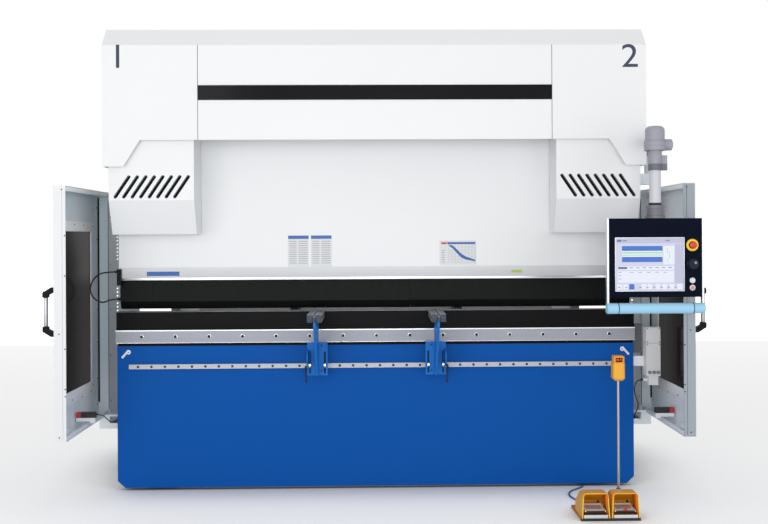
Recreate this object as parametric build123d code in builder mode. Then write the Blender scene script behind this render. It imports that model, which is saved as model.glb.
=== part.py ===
"""Hydraulic press brake for 3.1 m sheet, with its guards, operator pendant and foot pedal.

Millimetres, +X to the operator's right, +Y to the back, +Z up. The origin is on the floor,
in the middle of the four anchor bolts. Each sub-part is written to its own STEP file.
"""

import os
from math import radians, sin, tan

from build123d import *

os.makedirs("parts", exist_ok=True)

# Side frames
front = -750.0
frame_half = 1270.0
frame_thick = 60.0
frame_rear = 1350.0
frame_neck_rear = 1100.0
frame_neck_bottom = 1350.0
frame_neck_top = 1750.0
throat_top = 1480.0
throat_depth = 520.0
throat_radius = 90.0
upper_arm_front = 170.0
foot_thick = 25.0
foot_width = 190.0
foot_length = 260.0
anchor_front = 200.0
anchor_rear = 1300.0
anchor_radius = 13.0
frame_outer = frame_half + frame_thick
frame_middle = frame_half + frame_thick / 2

# Bed
bed_overhang = 218.0
bed_half = frame_outer + bed_overhang
bed_length = 2 * bed_half
bed_plate_thick = 60.0
bed_bottom = 15.0
bed_top = 861.0
bed_corner_x = 45.0
bed_corner_z = 42.0
bed_beam_thick = 80.0
bed_beam_bottom = 240.0

# Tools, stacked upwards from the bed
crown_height = 18.0
crown_inset = 8.0
crown_depth = 92.0
rail_overhang = 7.0
rail_height = 78.0
rail_depth = 120.0
rail_length = bed_length + 2 * rail_overhang
die_height = 108.0
die_width = 80.0
die_foot = 15.0
die_foot_width = 96.0
die_groove_width = 50.0
die_groove_depth = 24.0
tool_line = 50.0
tool_gap = 16.0
punch_height = 173.0
punch_thick = 34.0
punch_tip = 3.0
punch_tang = 13.0
punch_tang_height = 26.0
punch_shoulder = 46.0
punch_joint = 0.6
punch_lengths = (69.0, 130.0, 514.0, 516.0, 513.0, 515.0, 83.0, 509.0, 221.0)
clamp_height = 75.0
clamp_front = -6.0
clamp_depth = 96.0
clamp_slot_clearance = 0.5
clamp_slot_roof = 2.0

# Ram
ram_overhang = 205.0
ram_half = frame_outer + ram_overhang
ram_headroom = 467.0
ram_thick = 80.0
ram_shoulder = 1640.0
ram_neck_inset = 180.0
ram_neck_half = frame_middle - ram_neck_inset
ram_neck_radius = 60.0
stroke_up = 170.0
rod_radius = 55.0
rod_length = 420.0
rod_clearance = 1.0
guide_gap = 0.4
guide_inset = 15.0
terminal_width = 24.0
terminal_depth = 24.0
terminal_overlap = 6.0
terminal_high = 68.0
terminal_low = -29.0

# Cylinders
cylinder_half = 120.0
cylinder_headroom = 367.0
cylinder_gap = 40.0
cylinder_collar = 92.0
cylinder_collar_height = 18.0

# Top tie, tank and motor
tie_thick = 40.0
tie_drop = 267.0
tank_depth = 420.0
tank_height = 430.0
tank_half = 760.0
tank_lid = 20.0
motor_radius = 125.0
motor_length = 360.0
motor_fins = 18
motor_fin_depth = 14.0
motor_fin_width = 9.0

# Top covers
cover_overhang = 230.0
cover_half = frame_outer + cover_overhang
cover_front = -270.0
cover_back = 330.0
cover_top = 2717.0
tie_top = cover_top - tie_drop
cover_height = 651.0
cover_bevel = 110.0
cover_sheet = 6.0
cover_seam_inset = 285.0
cover_seam = frame_middle - cover_seam_inset
cover_low = cover_top - cover_height
cover_high = cover_top - cover_bevel
side_cover_drop = 151.0
side_drop_flat = 119.0
side_drop_slope = 95.0
side_drop = cover_low - side_cover_drop
side_drop_outer = cover_half - side_drop_flat
side_drop_inner = side_drop_outer - side_drop_slope
band_rise = 227.0
band_height = 85.0
band_proud = 3.0

# Vented boxes over the cylinders
box_reach = 257.0
box_overhang = 200.0
box_inner = frame_middle - box_reach
box_outer = frame_outer + box_overhang
box_front = -245.0
box_shoulder_drop = 112.0
box_slant = 195.0
box_low = ram_shoulder - box_shoulder_drop
box_knee = box_low + box_slant
box_low_front = -160.0
box_lap = 60.0
box_sheet = 6.0
box_ram_gap = 6.0
vent_count = 8
vent_pitch = 48.5
vent_width = 15.0
vent_rise = 15.0
vent_height = 124.0
vent_lean = 84.0
vent_margin = 35.0

# Side guards
guard_reach = 435.0
guard_skin_x = frame_outer + guard_reach
guard_sheet = 4.0
guard_flange = 66.0
door_front = -500.0
door_rear = 377.0
door_low = 393.0
door_high = 1796.0
window_front = -385.0
window_rear = 175.0
window_low = 630.0
window_high = 1548.0
window_lap = 30.0
window_thick = 5.0
hinge_depth = 386.0
hinge_radius = 9.0
hinge_gap = 0.5
hinge_seat = 34.0
hinge_half = 50.0
hinge_inset = 180.0
post_front = 400.0
post_rear = 590.0
panel_rear = 1230.0
panel_high = 1800.0
louvre_pitch = 25.0
louvre_front = 690.0
louvre_rear = 880.0
louvre_width = 9.0
louvre_groups = (560.0, 960.0, 1360.0)
louvre_count = 10
tray_low = 295.0
tray_high = 330.0
stay_depth = 900.0
stay_width = 60.0
stay_height = 40.0
stay_drop = 25.0
handle_depth = -400.0
handle_middle = 1098.0
handle_height = 275.0
handle_reach = 86.0
handle_radius = 12.0
handle_foot = 34.0
handle_wall = 3.0
handle_arm = 26.0
handle_step = 30.0
handle_knuckle = 56.0
stop_block = 40.0
stop_block_depth = -365.0

# Door interlocks
switch_gap = 11.0
switch_length = 110.0
switch_depth = -130.0
switch_size = 32.0
switch_foot = 20.0
switch_arm_low = 431.0
switch_arm_thick = 10.0
switch_arm_width = 30.0
switch_arm_depth = 70.0

# Guide rail and sheet supports
guide_inset_x = 74.0
guide_half = bed_half - guide_inset_x
guide_middle = 740.0
guide_height = 27.0
guide_thick = 22.0
carriage_x = 350.0
carriage_half = 42.0
carriage_low = 703.0
carriage_high = 826.0
carriage_thick = 44.0
carriage_clearance = 0.4
plate_half = 60.0
plate_low = 690.0
plate_high = 885.0
plate_thick = 14.0
plate_slot = 12.0
plate_slot_x = 44.0
plate_slot_low = 701.0
plate_slot_high = 831.0
web_thick = 14.0
web_foot = 40.0
web_nose = 30.0
bar_width = 80.0
bar_height = 43.0
bar_top = 1071.0
bar_front = -400.0
bar_back = -24.0
bar_slot = 10.0
bar_slot_deep = 12.0
half_round_radius = 46.0
half_round_middle = 800.0
half_round_thick = 8.0

# End block of the die rail and the junction box beside it
end_width = 46.0
end_depth = 10.0
end_thick = 40.0
end_high = 16.0
end_low = 800.0
junction_gap = 9.0
junction_width = 85.0
junction_depth = -60.0
junction_thick = 80.0
junction_high = 958.0
junction_low = 667.0
junction_foot_inset = 14.0
junction_foot_low = 614.0
junction_strap_low = 720.0
junction_strap_high = 780.0
junction_strap = 10.0

# Pendant on its boom
post_inset = 25.0
post_x = guard_skin_x - post_inset
post_depth = 300.0
pivot_rise = 125.0
pivot_z = side_drop + pivot_rise
boom_offset = 265.0
pendant_x = post_x - boom_offset
pendant_depth = -740.0
boom_width = 54.0
boom_height = 60.0
post_radius = 38.0
bracket_height = 65.0
bracket_high = side_drop - 20
bracket_low = bracket_high - bracket_height
bracket_depth = 90.0
pendant_left = 261.0
pendant_right = 229.0
housing_left = pendant_x - pendant_left
housing_right = pendant_x + pendant_right
housing_height = 413.0
housing_high = 1597.0
housing_low = housing_high - housing_height
housing_front = -800.0
housing_thick = 105.0
bezel_thick = 34.0
housing_inset = 30.0
housing_round = 4.0
cheek_thick = 10.0
cheek_depth = 30.0
grip_radius = 28.0
grip_drop = 58.0
grip_front = -794.0
grip_joint = 3.0
grip_end = 58.0
joint_height = 70.0
joint_radius = 52.0
joint_core = 44.0
joint_rings = 4
joint_groove = 5.0
drop_radius = 30.0
drop_high = pivot_z - 189
sleeve_radius = 36.0
sleeve_high = pivot_z - 84
elbow_radius = 56.0
elbow_high = pivot_z - 36
head_radius = 51.0
head_high = pivot_z + 44
head_round = 24.0
knob_reach = 86.0
knob_radius = 30.0
lever_reach = 62.0
lever_width = 24.0
lever_high = pivot_z - 110
screen_margin_left = 36.0
screen_margin_right = 97.0
screen_drop = 104.0
screen_rise = 35.0
screen_sink = 3.0
brow_drop = 74.0
brow_groove = 3.0
stop_inset = 52.0
stop_drop = 141.0
stop_collar = 32.0
stop_head = 19.0
knob_drop = 241.0
dial_radius = 31.0
button_drops = (326.0, 364.0)
button_radius = 15.0

# Foot pedal
pedal_inset = 67.0
pedal_x = frame_middle - pedal_inset
pedal_width = 308.0
pedal_front = -742.0
pedal_back = -552.0
pedal_height = 145.0
pedal_base_height = 14.0
pedal_lip = 4.0
hood_sheet = 5.0
hood_gap = 10.0
hood_taper = 7.0
hood_corner = 18.0
hood_lean = 10.0
hood_roof = 90.0
hood_rear_height = 62.0
tread_width = 112.0
tread_thick = 6.0
tread_hinge_depth = -612.0
tread_hinge_z = 50.0
tread_hinge_radius = 5.0
tread_front = -726.0
tread_lift = 44.0
tread_play = 0.4
tread_eye = 6.0
pole_offset = 101.0
pole_x = pedal_x + pole_offset
pole_depth = -490.0
pole_margin = 22.0
pole_radius = 7.5
stop_cup_low = 707.0
stop_cup_high = 803.0
stop_cup_width = 68.0
stop_cup_round = 16.0
stop_box_high = 841.0
stop_box_width = 57.0
stop_mouth_width = 40.0
stop_mouth_height = 26.0
stop_mouth_depth = 24.0

# Backgauge
gauge_rail_x = 740.0
gauge_rail_width = 60.0
gauge_rail_low = 720.0
gauge_rail_high = 800.0
gauge_rail_rear = 950.0
gauge_beam_inset = 120.0
gauge_beam_front = 620.0
gauge_beam_depth = 80.0
gauge_beam_height = 180.0
finger_x = 500.0
finger_width = 50.0
finger_tip = 420.0
finger_low = 1040.0
finger_high = 1075.0

# Leads, each a list of points on its route: x and z counted from the ram's end, the junction
# box's side, the frame's outer face or the pedal's middle, y from the bed plate's front
ram_lead_radius = 4.5
ram_lead_points = (
    (-6, -18, -23), (-55, -18, -23), (-115, -12, -33), (-159, -2, -75), (-177, 8, -131),
    (-157, 20, -183), (-109, 34, -213), (-61, 50, -189), (-12, 50, -189),
)
junction_lead_radius = 3.5
junction_lead_points = (
    (52, -20, 27), (23, -20, 27), (4, -18, 0), (1, -14, -39), (14, -5, -84),
    (32, 8, -122), (28, 22, -159), (12, 30, -189), (12, 30, -214),
)
interlock_lead_radius = 3.0
interlock_lead_points = (
    (-310, -130, 47), (-272, -130, 47), (-250, -96, 11), (-250, -30, -16), (-242, 45, -29),
    (-200, 105, -33), (-130, 120, -35), (-68, 118, -37), (-12, 118, -37),
)
pedal_lead_radius = 4.0
pedal_lead_points = (
    (-83, -456, 5), (-83, -400, 5), (-105, -320, 5), (-125, -235, 5), (-108, -150, 5),
    (-57, -88, 5), (-7, -40, 5), (7, 10, 5), (7, 62, 5),
)
lead_sides = 8


def save(piece, name):
    """Label a finished sub-part and write it to its STEP file."""
    piece.part.label = name
    export_step(piece.part, f"parts/{name}.step")


def depth(distance):
    """Y of a place that lies this far behind the bed plate's front face."""
    return front + distance


def facing(distance):
    """Plane across the machine at a depth: sketch x is X, sketch y is Z, outward is -Y."""
    return Plane(origin=(0, depth(distance), 0), x_dir=(1, 0, 0), z_dir=(0, -1, 0))


def upright(x):
    """Plane at one X: sketch x is Y, sketch y is Z, outward is +X."""
    return Plane(origin=(x, 0, 0), x_dir=(0, 1, 0), z_dir=(1, 0, 0))


def rectangle(x_one, x_two, z_one, z_two, mode=Mode.ADD):
    """Rectangle between two corners, in the sketch's own plane."""
    with Locations(((x_one + x_two) / 2, (z_one + z_two) / 2)):
        Rectangle(abs(x_two - x_one), abs(z_two - z_one), mode=mode)


def outline(points):
    """Face inside a closed run of straight edges, in the sketch's own plane."""
    with BuildLine() as run:
        Polyline(points, close=True)
    make_face(run.edges())


def placed(points, x, z):
    """Route of a lead, from its points counted from a place on the machine."""
    return [(x + across, back, z + up) for across, back, up in points]


def lead(route, radius):
    """Lead along straight runs joined by the largest arcs that each corner allows.

    Its section has few flat sides and the area of the round one.
    """
    points = [Vector(x, depth(y), z) for x, y, z in route]
    runs = [after - before for before, after in zip(points[:-1], points[1:])]
    bends = []
    for one, two in zip(runs[:-1], runs[1:]):
        half_turn = radians(one.get_angle(two)) / 2
        bends.append(0.45 * min(one.length, two.length) / tan(half_turn))
    with BuildLine() as line:
        FilletPolyline(*points, radius=bends)
    with BuildSketch(Plane(origin=points[0], z_dir=runs[0])) as ring:
        turn = radians(360 / lead_sides)
        RegularPolygon(radius * (turn / sin(turn)) ** 0.5, lead_sides)
    sweep(ring.sketch.faces(), path=line.wires()[0])
    print("bends", [round(bend) for bend in bends], "length", round(line.wires()[0].length))


sides = ((-1, "left"), (1, "right"))
rail_bottom = bed_top + crown_height
die_bottom = rail_bottom + rail_height
die_top = die_bottom + die_height
punch_bottom = die_top + tool_gap
clamp_bottom = punch_bottom + punch_height
ram_bottom = clamp_bottom + clamp_height
tool_y = depth(tool_line)
ram_top = cover_top - ram_headroom
cylinder_low = ram_shoulder + stroke_up + cylinder_gap
cylinder_height = cover_top - cylinder_headroom - cylinder_low
cover_rail_size = 50.0
frame_top = cover_top - cover_sheet - cover_rail_size
guide_low = ram_bottom + stroke_up + guide_inset
rod_y = depth(ram_thick / 2)
ram_lead_route = placed(ram_lead_points, -ram_half, ram_bottom)
junction_lead_route = placed(junction_lead_points, bed_half, junction_foot_low)
interlock_lead_route = placed(interlock_lead_points, -frame_outer, switch_arm_low)
pedal_lead_route = placed(pedal_lead_points, pedal_x, 0)

# Side frames, flame-cut C plates on welded feet, with the ram guides on their fronts
for side, name in sides:
    with BuildPart() as frame:
        with BuildSketch(upright(side * frame_half)):
            outline([
                (depth(bed_plate_thick), foot_thick),
                (depth(bed_plate_thick), bed_top),
                (depth(throat_depth), bed_top),
                (depth(throat_depth), throat_top),
                (depth(upper_arm_front), throat_top),
                (depth(upper_arm_front), frame_top),
                (depth(frame_neck_rear), frame_top),
                (depth(frame_neck_rear), frame_neck_top),
                (depth(frame_rear), frame_neck_bottom),
                (depth(frame_rear), foot_thick),
            ])
            throat_back = vertices().filter_by_position(
                Axis.X, depth(throat_depth) - 1, depth(throat_depth) + 1
            )
            fillet(throat_back, throat_radius)
            rectangle(
                depth(ram_thick + guide_gap), depth(upper_arm_front + 1),
                guide_low, ram_shoulder - guide_inset,
            )
        extrude(amount=side * frame_thick)
        feet_x = side * frame_middle
        for foot_y in (depth(anchor_front), depth(anchor_rear)):
            with BuildSketch(Plane.XY):
                with Locations((feet_x, foot_y)):
                    Rectangle(foot_width, foot_length)
                    Circle(anchor_radius, mode=Mode.SUBTRACT)
            extrude(amount=foot_thick)
            with BuildSketch(Plane.XY.offset(foot_thick)):
                with Locations((feet_x, foot_y)):
                    Circle(anchor_radius * 2.2)
            extrude(amount=foot_thick * 3, mode=Mode.SUBTRACT)
        if name == "right":
            gland_x, gland_depth, gland_z = pedal_lead_route[-1]
            foot_front = anchor_front - foot_length / 2
            with BuildSketch(facing(foot_front)):
                with Locations((gland_x, gland_z)):
                    Circle(pedal_lead_radius + 1)
            extrude(amount=foot_front - gland_depth)
        else:
            gland_x, gland_depth, gland_z = interlock_lead_route[-1]
            with BuildSketch(upright(-frame_outer)):
                with Locations((depth(gland_depth), gland_z)):
                    Circle(interlock_lead_radius + 4)
            extrude(amount=gland_x + frame_outer)
    save(frame, f"frame_{name}")

# Bed plate and the beam behind it
with BuildPart() as bed_plate:
    with BuildSketch(facing(0)):
        half = bed_half
        outline([
            (-half, bed_bottom + bed_corner_z),
            (-half + bed_corner_x, bed_bottom),
            (half - bed_corner_x, bed_bottom),
            (half, bed_bottom + bed_corner_z),
            (half, bed_top),
            (-half, bed_top),
        ])
    extrude(amount=-bed_plate_thick)
save(bed_plate, "bed_plate")

with BuildPart() as bed_beam:
    with BuildSketch(facing(bed_plate_thick)):
        rectangle(-frame_half, frame_half, bed_beam_bottom, bed_top)
    extrude(amount=-bed_beam_thick)
save(bed_beam, "bed_beam")

# Crowning strip, die rail and lower die
with BuildPart() as crowning:
    with BuildSketch(upright(-rail_length / 2 + crown_inset)):
        rectangle(depth(crown_inset), depth(crown_inset + crown_depth), bed_top, rail_bottom)
    extrude(amount=rail_length - 2 * crown_inset)
save(crowning, "crowning_strip")

rail_front = tool_line - rail_depth / 2
with BuildPart() as die_rail:
    with BuildSketch(upright(-rail_length / 2)):
        rectangle(depth(rail_front), depth(rail_front + rail_depth), rail_bottom, die_bottom)
    extrude(amount=rail_length)
save(die_rail, "die_rail")

with BuildPart() as lower_die:
    with BuildSketch(upright(-rail_length / 2)):
        outline([
            (tool_y - die_foot_width / 2, die_bottom),
            (tool_y + die_foot_width / 2, die_bottom),
            (tool_y + die_foot_width / 2, die_bottom + die_foot),
            (tool_y + die_width / 2, die_bottom + die_foot),
            (tool_y + die_width / 2, die_top),
            (tool_y + die_groove_width / 2, die_top),
            (tool_y, die_top - die_groove_depth),
            (tool_y - die_groove_width / 2, die_top),
            (tool_y - die_width / 2, die_top),
            (tool_y - die_width / 2, die_bottom + die_foot),
            (tool_y - die_foot_width / 2, die_bottom + die_foot),
        ])
    extrude(amount=rail_length)
save(lower_die, "lower_die")

# Punches, each a length of the same ground profile hung in the clamp beam
with BuildPart() as punches:
    start = -ram_half
    for length in punch_lengths:
        with BuildSketch(upright(start + punch_joint / 2)):
            outline([
                (tool_y - punch_tip / 2, punch_bottom),
                (tool_y + punch_tip / 2, punch_bottom),
                (tool_y + punch_thick / 2, punch_bottom + punch_thick),
                (tool_y + punch_thick / 2, clamp_bottom - punch_shoulder),
                (tool_y + punch_shoulder / 2, clamp_bottom - punch_shoulder / 2),
                (tool_y + punch_shoulder / 2, clamp_bottom),
                (tool_y + punch_tang / 2, clamp_bottom),
                (tool_y + punch_tang / 2, clamp_bottom + punch_tang_height),
                (tool_y - punch_tang / 2, clamp_bottom + punch_tang_height),
                (tool_y - punch_tang / 2, clamp_bottom),
                (tool_y - punch_shoulder / 2, clamp_bottom),
                (tool_y - punch_shoulder / 2, punch_bottom + punch_shoulder),
            ])
        extrude(amount=length - punch_joint)
        start += length
save(punches, "punches")

slot_half = punch_tang / 2 + clamp_slot_clearance
slot_roof = clamp_bottom + punch_tang_height + clamp_slot_roof
with BuildPart() as clamp_beam:
    with BuildSketch(upright(-ram_half)):
        outline([
            (depth(clamp_front), clamp_bottom),
            (tool_y - slot_half, clamp_bottom),
            (tool_y - slot_half, slot_roof),
            (tool_y + slot_half, slot_roof),
            (tool_y + slot_half, clamp_bottom),
            (depth(clamp_front + clamp_depth), clamp_bottom),
            (depth(clamp_front + clamp_depth), ram_bottom),
            (depth(clamp_front), ram_bottom),
        ])
    extrude(amount=2 * ram_half)
save(clamp_beam, "clamp_beam")

# Terminal block at the left end of the clamp beam, and the plug at the end of the tool row
plug_x, plug_depth, plug_z = ram_lead_route[-1]
with BuildPart() as terminal:
    with BuildSketch(facing(clamp_front)):
        terminal_left = -ram_half - terminal_overlap
        rectangle(
            terminal_left, terminal_left + terminal_width,
            clamp_bottom + terminal_low, clamp_bottom + terminal_high,
        )
    extrude(amount=terminal_depth)
    with BuildSketch(upright(plug_x)):
        with Locations((depth(plug_depth), plug_z)):
            Rectangle(punch_thick / 2, punch_thick / 2)
    extrude(amount=-ram_half + punch_joint / 2 - plug_x)
save(terminal, "ram_terminal")

# Ram plate with the piston rods standing on its shoulders
with BuildPart() as ram:
    with BuildSketch(facing(0)):
        outline([
            (-ram_half, ram_bottom),
            (ram_half, ram_bottom),
            (ram_half, ram_shoulder),
            (ram_neck_half, ram_shoulder),
            (ram_neck_half, ram_top),
            (-ram_neck_half, ram_top),
            (-ram_neck_half, ram_shoulder),
            (-ram_half, ram_shoulder),
        ])
        neck = vertices().filter_by_position(Axis.Y, ram_shoulder - 1, ram_shoulder + 1)
        fillet(neck.sort_by(Axis.X)[1:3], ram_neck_radius)
    extrude(amount=-ram_thick)
save(ram, "ram")

with BuildPart() as rods:
    with BuildSketch(Plane.XY.offset(ram_shoulder)):
        with Locations((-frame_middle, rod_y), (frame_middle, rod_y)):
            Circle(rod_radius)
    extrude(amount=rod_length)
save(rods, "piston_rods")

# Hydraulic cylinders bolted to the fronts of the frames
with BuildPart() as cylinders:
    with BuildSketch(Plane.XY.offset(cylinder_low)):
        for side, name in sides:
            rectangle(
                side * frame_middle - cylinder_half,
                side * frame_middle + cylinder_half,
                rod_y - cylinder_half,
                depth(upper_arm_front),
            )
    extrude(amount=cylinder_height)
    chamfer(edges().filter_by(Axis.Z).group_by(Axis.Y)[0], cylinder_half / 4)
    rod_places = ((-frame_middle, rod_y), (frame_middle, rod_y))
    with BuildSketch(Plane.XY.offset(cylinder_low)):
        with Locations(*rod_places):
            Circle(cylinder_collar)
    extrude(amount=-cylinder_collar_height)
    with BuildSketch(Plane.XY.offset(cylinder_low - cylinder_collar_height)):
        with Locations(*rod_places):
            Circle(rod_radius + rod_clearance)
    extrude(amount=cylinder_height - cylinder_collar_height, mode=Mode.SUBTRACT)
save(cylinders, "cylinders")

# Tie with the tank's shelf, oil tank and pump motor between the frames
tank_front = frame_neck_rear - tie_thick - tank_depth
with BuildPart() as tie:
    with BuildSketch(upright(-frame_half)):
        tank_floor = tie_top - tank_height
        outline([
            (depth(tank_front), tank_floor - tie_thick),
            (depth(frame_neck_rear), tank_floor - tie_thick),
            (depth(frame_neck_rear), tie_top),
            (depth(frame_neck_rear - tie_thick), tie_top),
            (depth(frame_neck_rear - tie_thick), tank_floor),
            (depth(tank_front), tank_floor),
        ])
    extrude(amount=2 * frame_half)
save(tie, "top_tie")

with BuildPart() as tank:
    with BuildSketch(Plane.XY.offset(tank_floor)):
        rectangle(-tank_half, tank_half, depth(tank_front), depth(tank_front + tank_depth))
    extrude(amount=tank_height - tank_lid)
    fillet(edges().filter_by(Axis.Z), 18)
    with BuildSketch(Plane.XY.offset(tie_top - tank_lid)):
        rectangle(-tank_half, tank_half, depth(tank_front), depth(tank_front + tank_depth))
    extrude(amount=tank_lid)
save(tank, "oil_tank")

motor_y = depth(tank_front + tank_depth / 2)
motor_z = tie_top + motor_radius + 8
with BuildPart() as motor:
    with BuildSketch(upright(-motor_length / 2)):
        with Locations((motor_y, motor_z)):
            Circle(motor_radius - motor_fin_depth)
            with PolarLocations(motor_radius - motor_fin_depth, motor_fins):
                Rectangle(motor_fin_depth * 2, motor_fin_width)
    extrude(amount=motor_length)
    with BuildSketch(upright(-motor_length / 2)):
        rectangle(motor_y - motor_radius * 0.7, motor_y + motor_radius * 0.7, tie_top, motor_z)
    extrude(amount=motor_length)
save(motor, "pump_motor")

# Cover rail across the frame tops, carrying the top covers
with BuildPart() as cover_rail:
    with BuildSketch(upright(-cover_half + cover_sheet)):
        rail_y = depth(upper_arm_front)
        rectangle(rail_y, rail_y + cover_rail_size, frame_top, frame_top + cover_rail_size)
    extrude(amount=2 * (cover_half - cover_sheet))
save(cover_rail, "cover_rail")

miter = cover_sheet * 0.41421356


def hood_profile():
    """Section of the top covers: front sheet, bevel, top sheet and a turned-down back edge."""
    outline([
        (depth(cover_front), cover_low),
        (depth(cover_front), cover_high),
        (depth(cover_front + cover_bevel), cover_top),
        (depth(cover_back), cover_top),
        (depth(cover_back), frame_top),
        (depth(cover_back - cover_sheet), frame_top),
        (depth(cover_back - cover_sheet), cover_top - cover_sheet),
        (depth(cover_front + cover_bevel) + miter, cover_top - cover_sheet),
        (depth(cover_front + cover_sheet), cover_high - miter),
        (depth(cover_front + cover_sheet), cover_low),
    ])


with BuildPart() as cover:
    with BuildSketch(upright(-cover_seam)):
        hood_profile()
    extrude(amount=2 * cover_seam)
save(cover, "cover_centre")

with BuildPart() as band:
    with BuildSketch(facing(cover_front)):
        rectangle(-cover_seam, cover_seam, cover_low + band_rise, cover_low + band_rise + band_height)
    extrude(amount=band_proud)
save(band, "fascia_band")

for side, name in sides:
    seam = cover_seam + 0.3
    with BuildPart() as side_cover:
        with BuildSketch(upright(side * seam)):
            hood_profile()
        extrude(amount=side * (cover_half - seam))
        with BuildSketch(facing(cover_front)):
            outline([
                (side * side_drop_inner, cover_low + 1),
                (side * side_drop_inner, cover_low),
                (side * side_drop_outer, side_drop),
                (side * cover_half, side_drop),
                (side * cover_half, cover_low + 1),
            ])
        extrude(amount=-cover_sheet)
        with BuildSketch(upright(side * cover_half)):
            outline([
                (depth(cover_front), side_drop),
                (depth(cover_front), cover_high),
                (depth(cover_front + cover_bevel), cover_top),
                (depth(cover_back), cover_top),
                (depth(cover_back), side_drop),
            ])
        extrude(amount=-side * cover_sheet)
    save(side_cover, f"cover_{name}")

# Vented boxes that close off the cylinders, slots cut through the front sheet
for side, name in sides:
    with BuildPart() as box:
        with BuildSketch(upright(side * box_inner)):
            outline([
                (depth(-box_ram_gap), box_low),
                (depth(box_low_front), box_low),
                (depth(box_front), box_knee),
                (depth(box_front), cover_low + box_lap),
                (depth(-box_ram_gap), cover_low + box_lap),
            ])
        extrude(amount=side * (box_outer - box_inner))
        with BuildSketch(upright(side * (box_inner + box_sheet))):
            outline([
                (depth(-box_ram_gap), box_low + box_sheet),
                (depth(box_low_front + box_sheet), box_low + box_sheet),
                (depth(box_front + box_sheet), box_knee),
                (depth(box_front + box_sheet), cover_low + box_lap),
                (depth(-box_ram_gap), cover_low + box_lap),
            ])
        extrude(amount=side * (box_outer - box_inner - 2 * box_sheet), mode=Mode.SUBTRACT)
        bracket_low_z = cover_low - 90
        with BuildSketch(Plane.XY.offset(bracket_low_z)):
            rectangle(
                side * (frame_middle - cylinder_half / 2),
                side * (frame_middle + cylinder_half / 2),
                depth(box_front + box_sheet),
                rod_y - cylinder_half,
            )
        extrude(amount=box_sheet)
        with BuildSketch(facing(box_front)):
            vent_low = box_knee + vent_rise
            vent_high = vent_low + vent_height
            for count in range(vent_count):
                low_x = box_outer - vent_margin - count * vent_pitch
                high_x = low_x - vent_lean
                outline([
                    (side * (low_x - vent_width / 2), vent_low),
                    (side * (low_x + vent_width / 2), vent_low),
                    (side * (high_x + vent_width / 2), vent_high),
                    (side * (high_x - vent_width / 2), vent_high),
                ])
        extrude(amount=-2 * box_sheet, mode=Mode.SUBTRACT)
    save(box, f"vented_box_{name}")

# Side guards: tray and stay on the frame, a fixed louvred panel with its post, a hinged door
skin_inner = guard_skin_x - guard_sheet
flange_x = guard_skin_x - guard_flange
with BuildPart() as trays:
    with BuildSketch(Plane.XY.offset(tray_low)):
        for side, name in sides:
            rectangle(side * frame_outer, side * guard_skin_x, depth(post_front), depth(panel_rear))
    extrude(amount=tray_high - tray_low)
    with BuildSketch(Plane.XY.offset(tray_low + guard_sheet)):
        for side, name in sides:
            rectangle(
                side * (frame_outer + guard_sheet),
                side * skin_inner,
                depth(post_front + guard_sheet),
                depth(panel_rear - guard_sheet),
            )
    extrude(amount=tray_high - tray_low, mode=Mode.SUBTRACT)
    for side, name in sides:
        stay_high = panel_high - stay_drop
        with BuildSketch(upright(side * frame_outer)):
            rectangle(
                depth(stay_depth), depth(stay_depth + stay_width), stay_high - stay_height, stay_high
            )
            rectangle(
                depth(stay_depth + guard_sheet), depth(stay_depth + stay_width + guard_sheet),
                stay_high - stay_height, stay_high - guard_sheet, mode=Mode.SUBTRACT,
            )
        extrude(amount=side * (skin_inner - frame_outer))
save(trays, "guard_trays")

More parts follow.
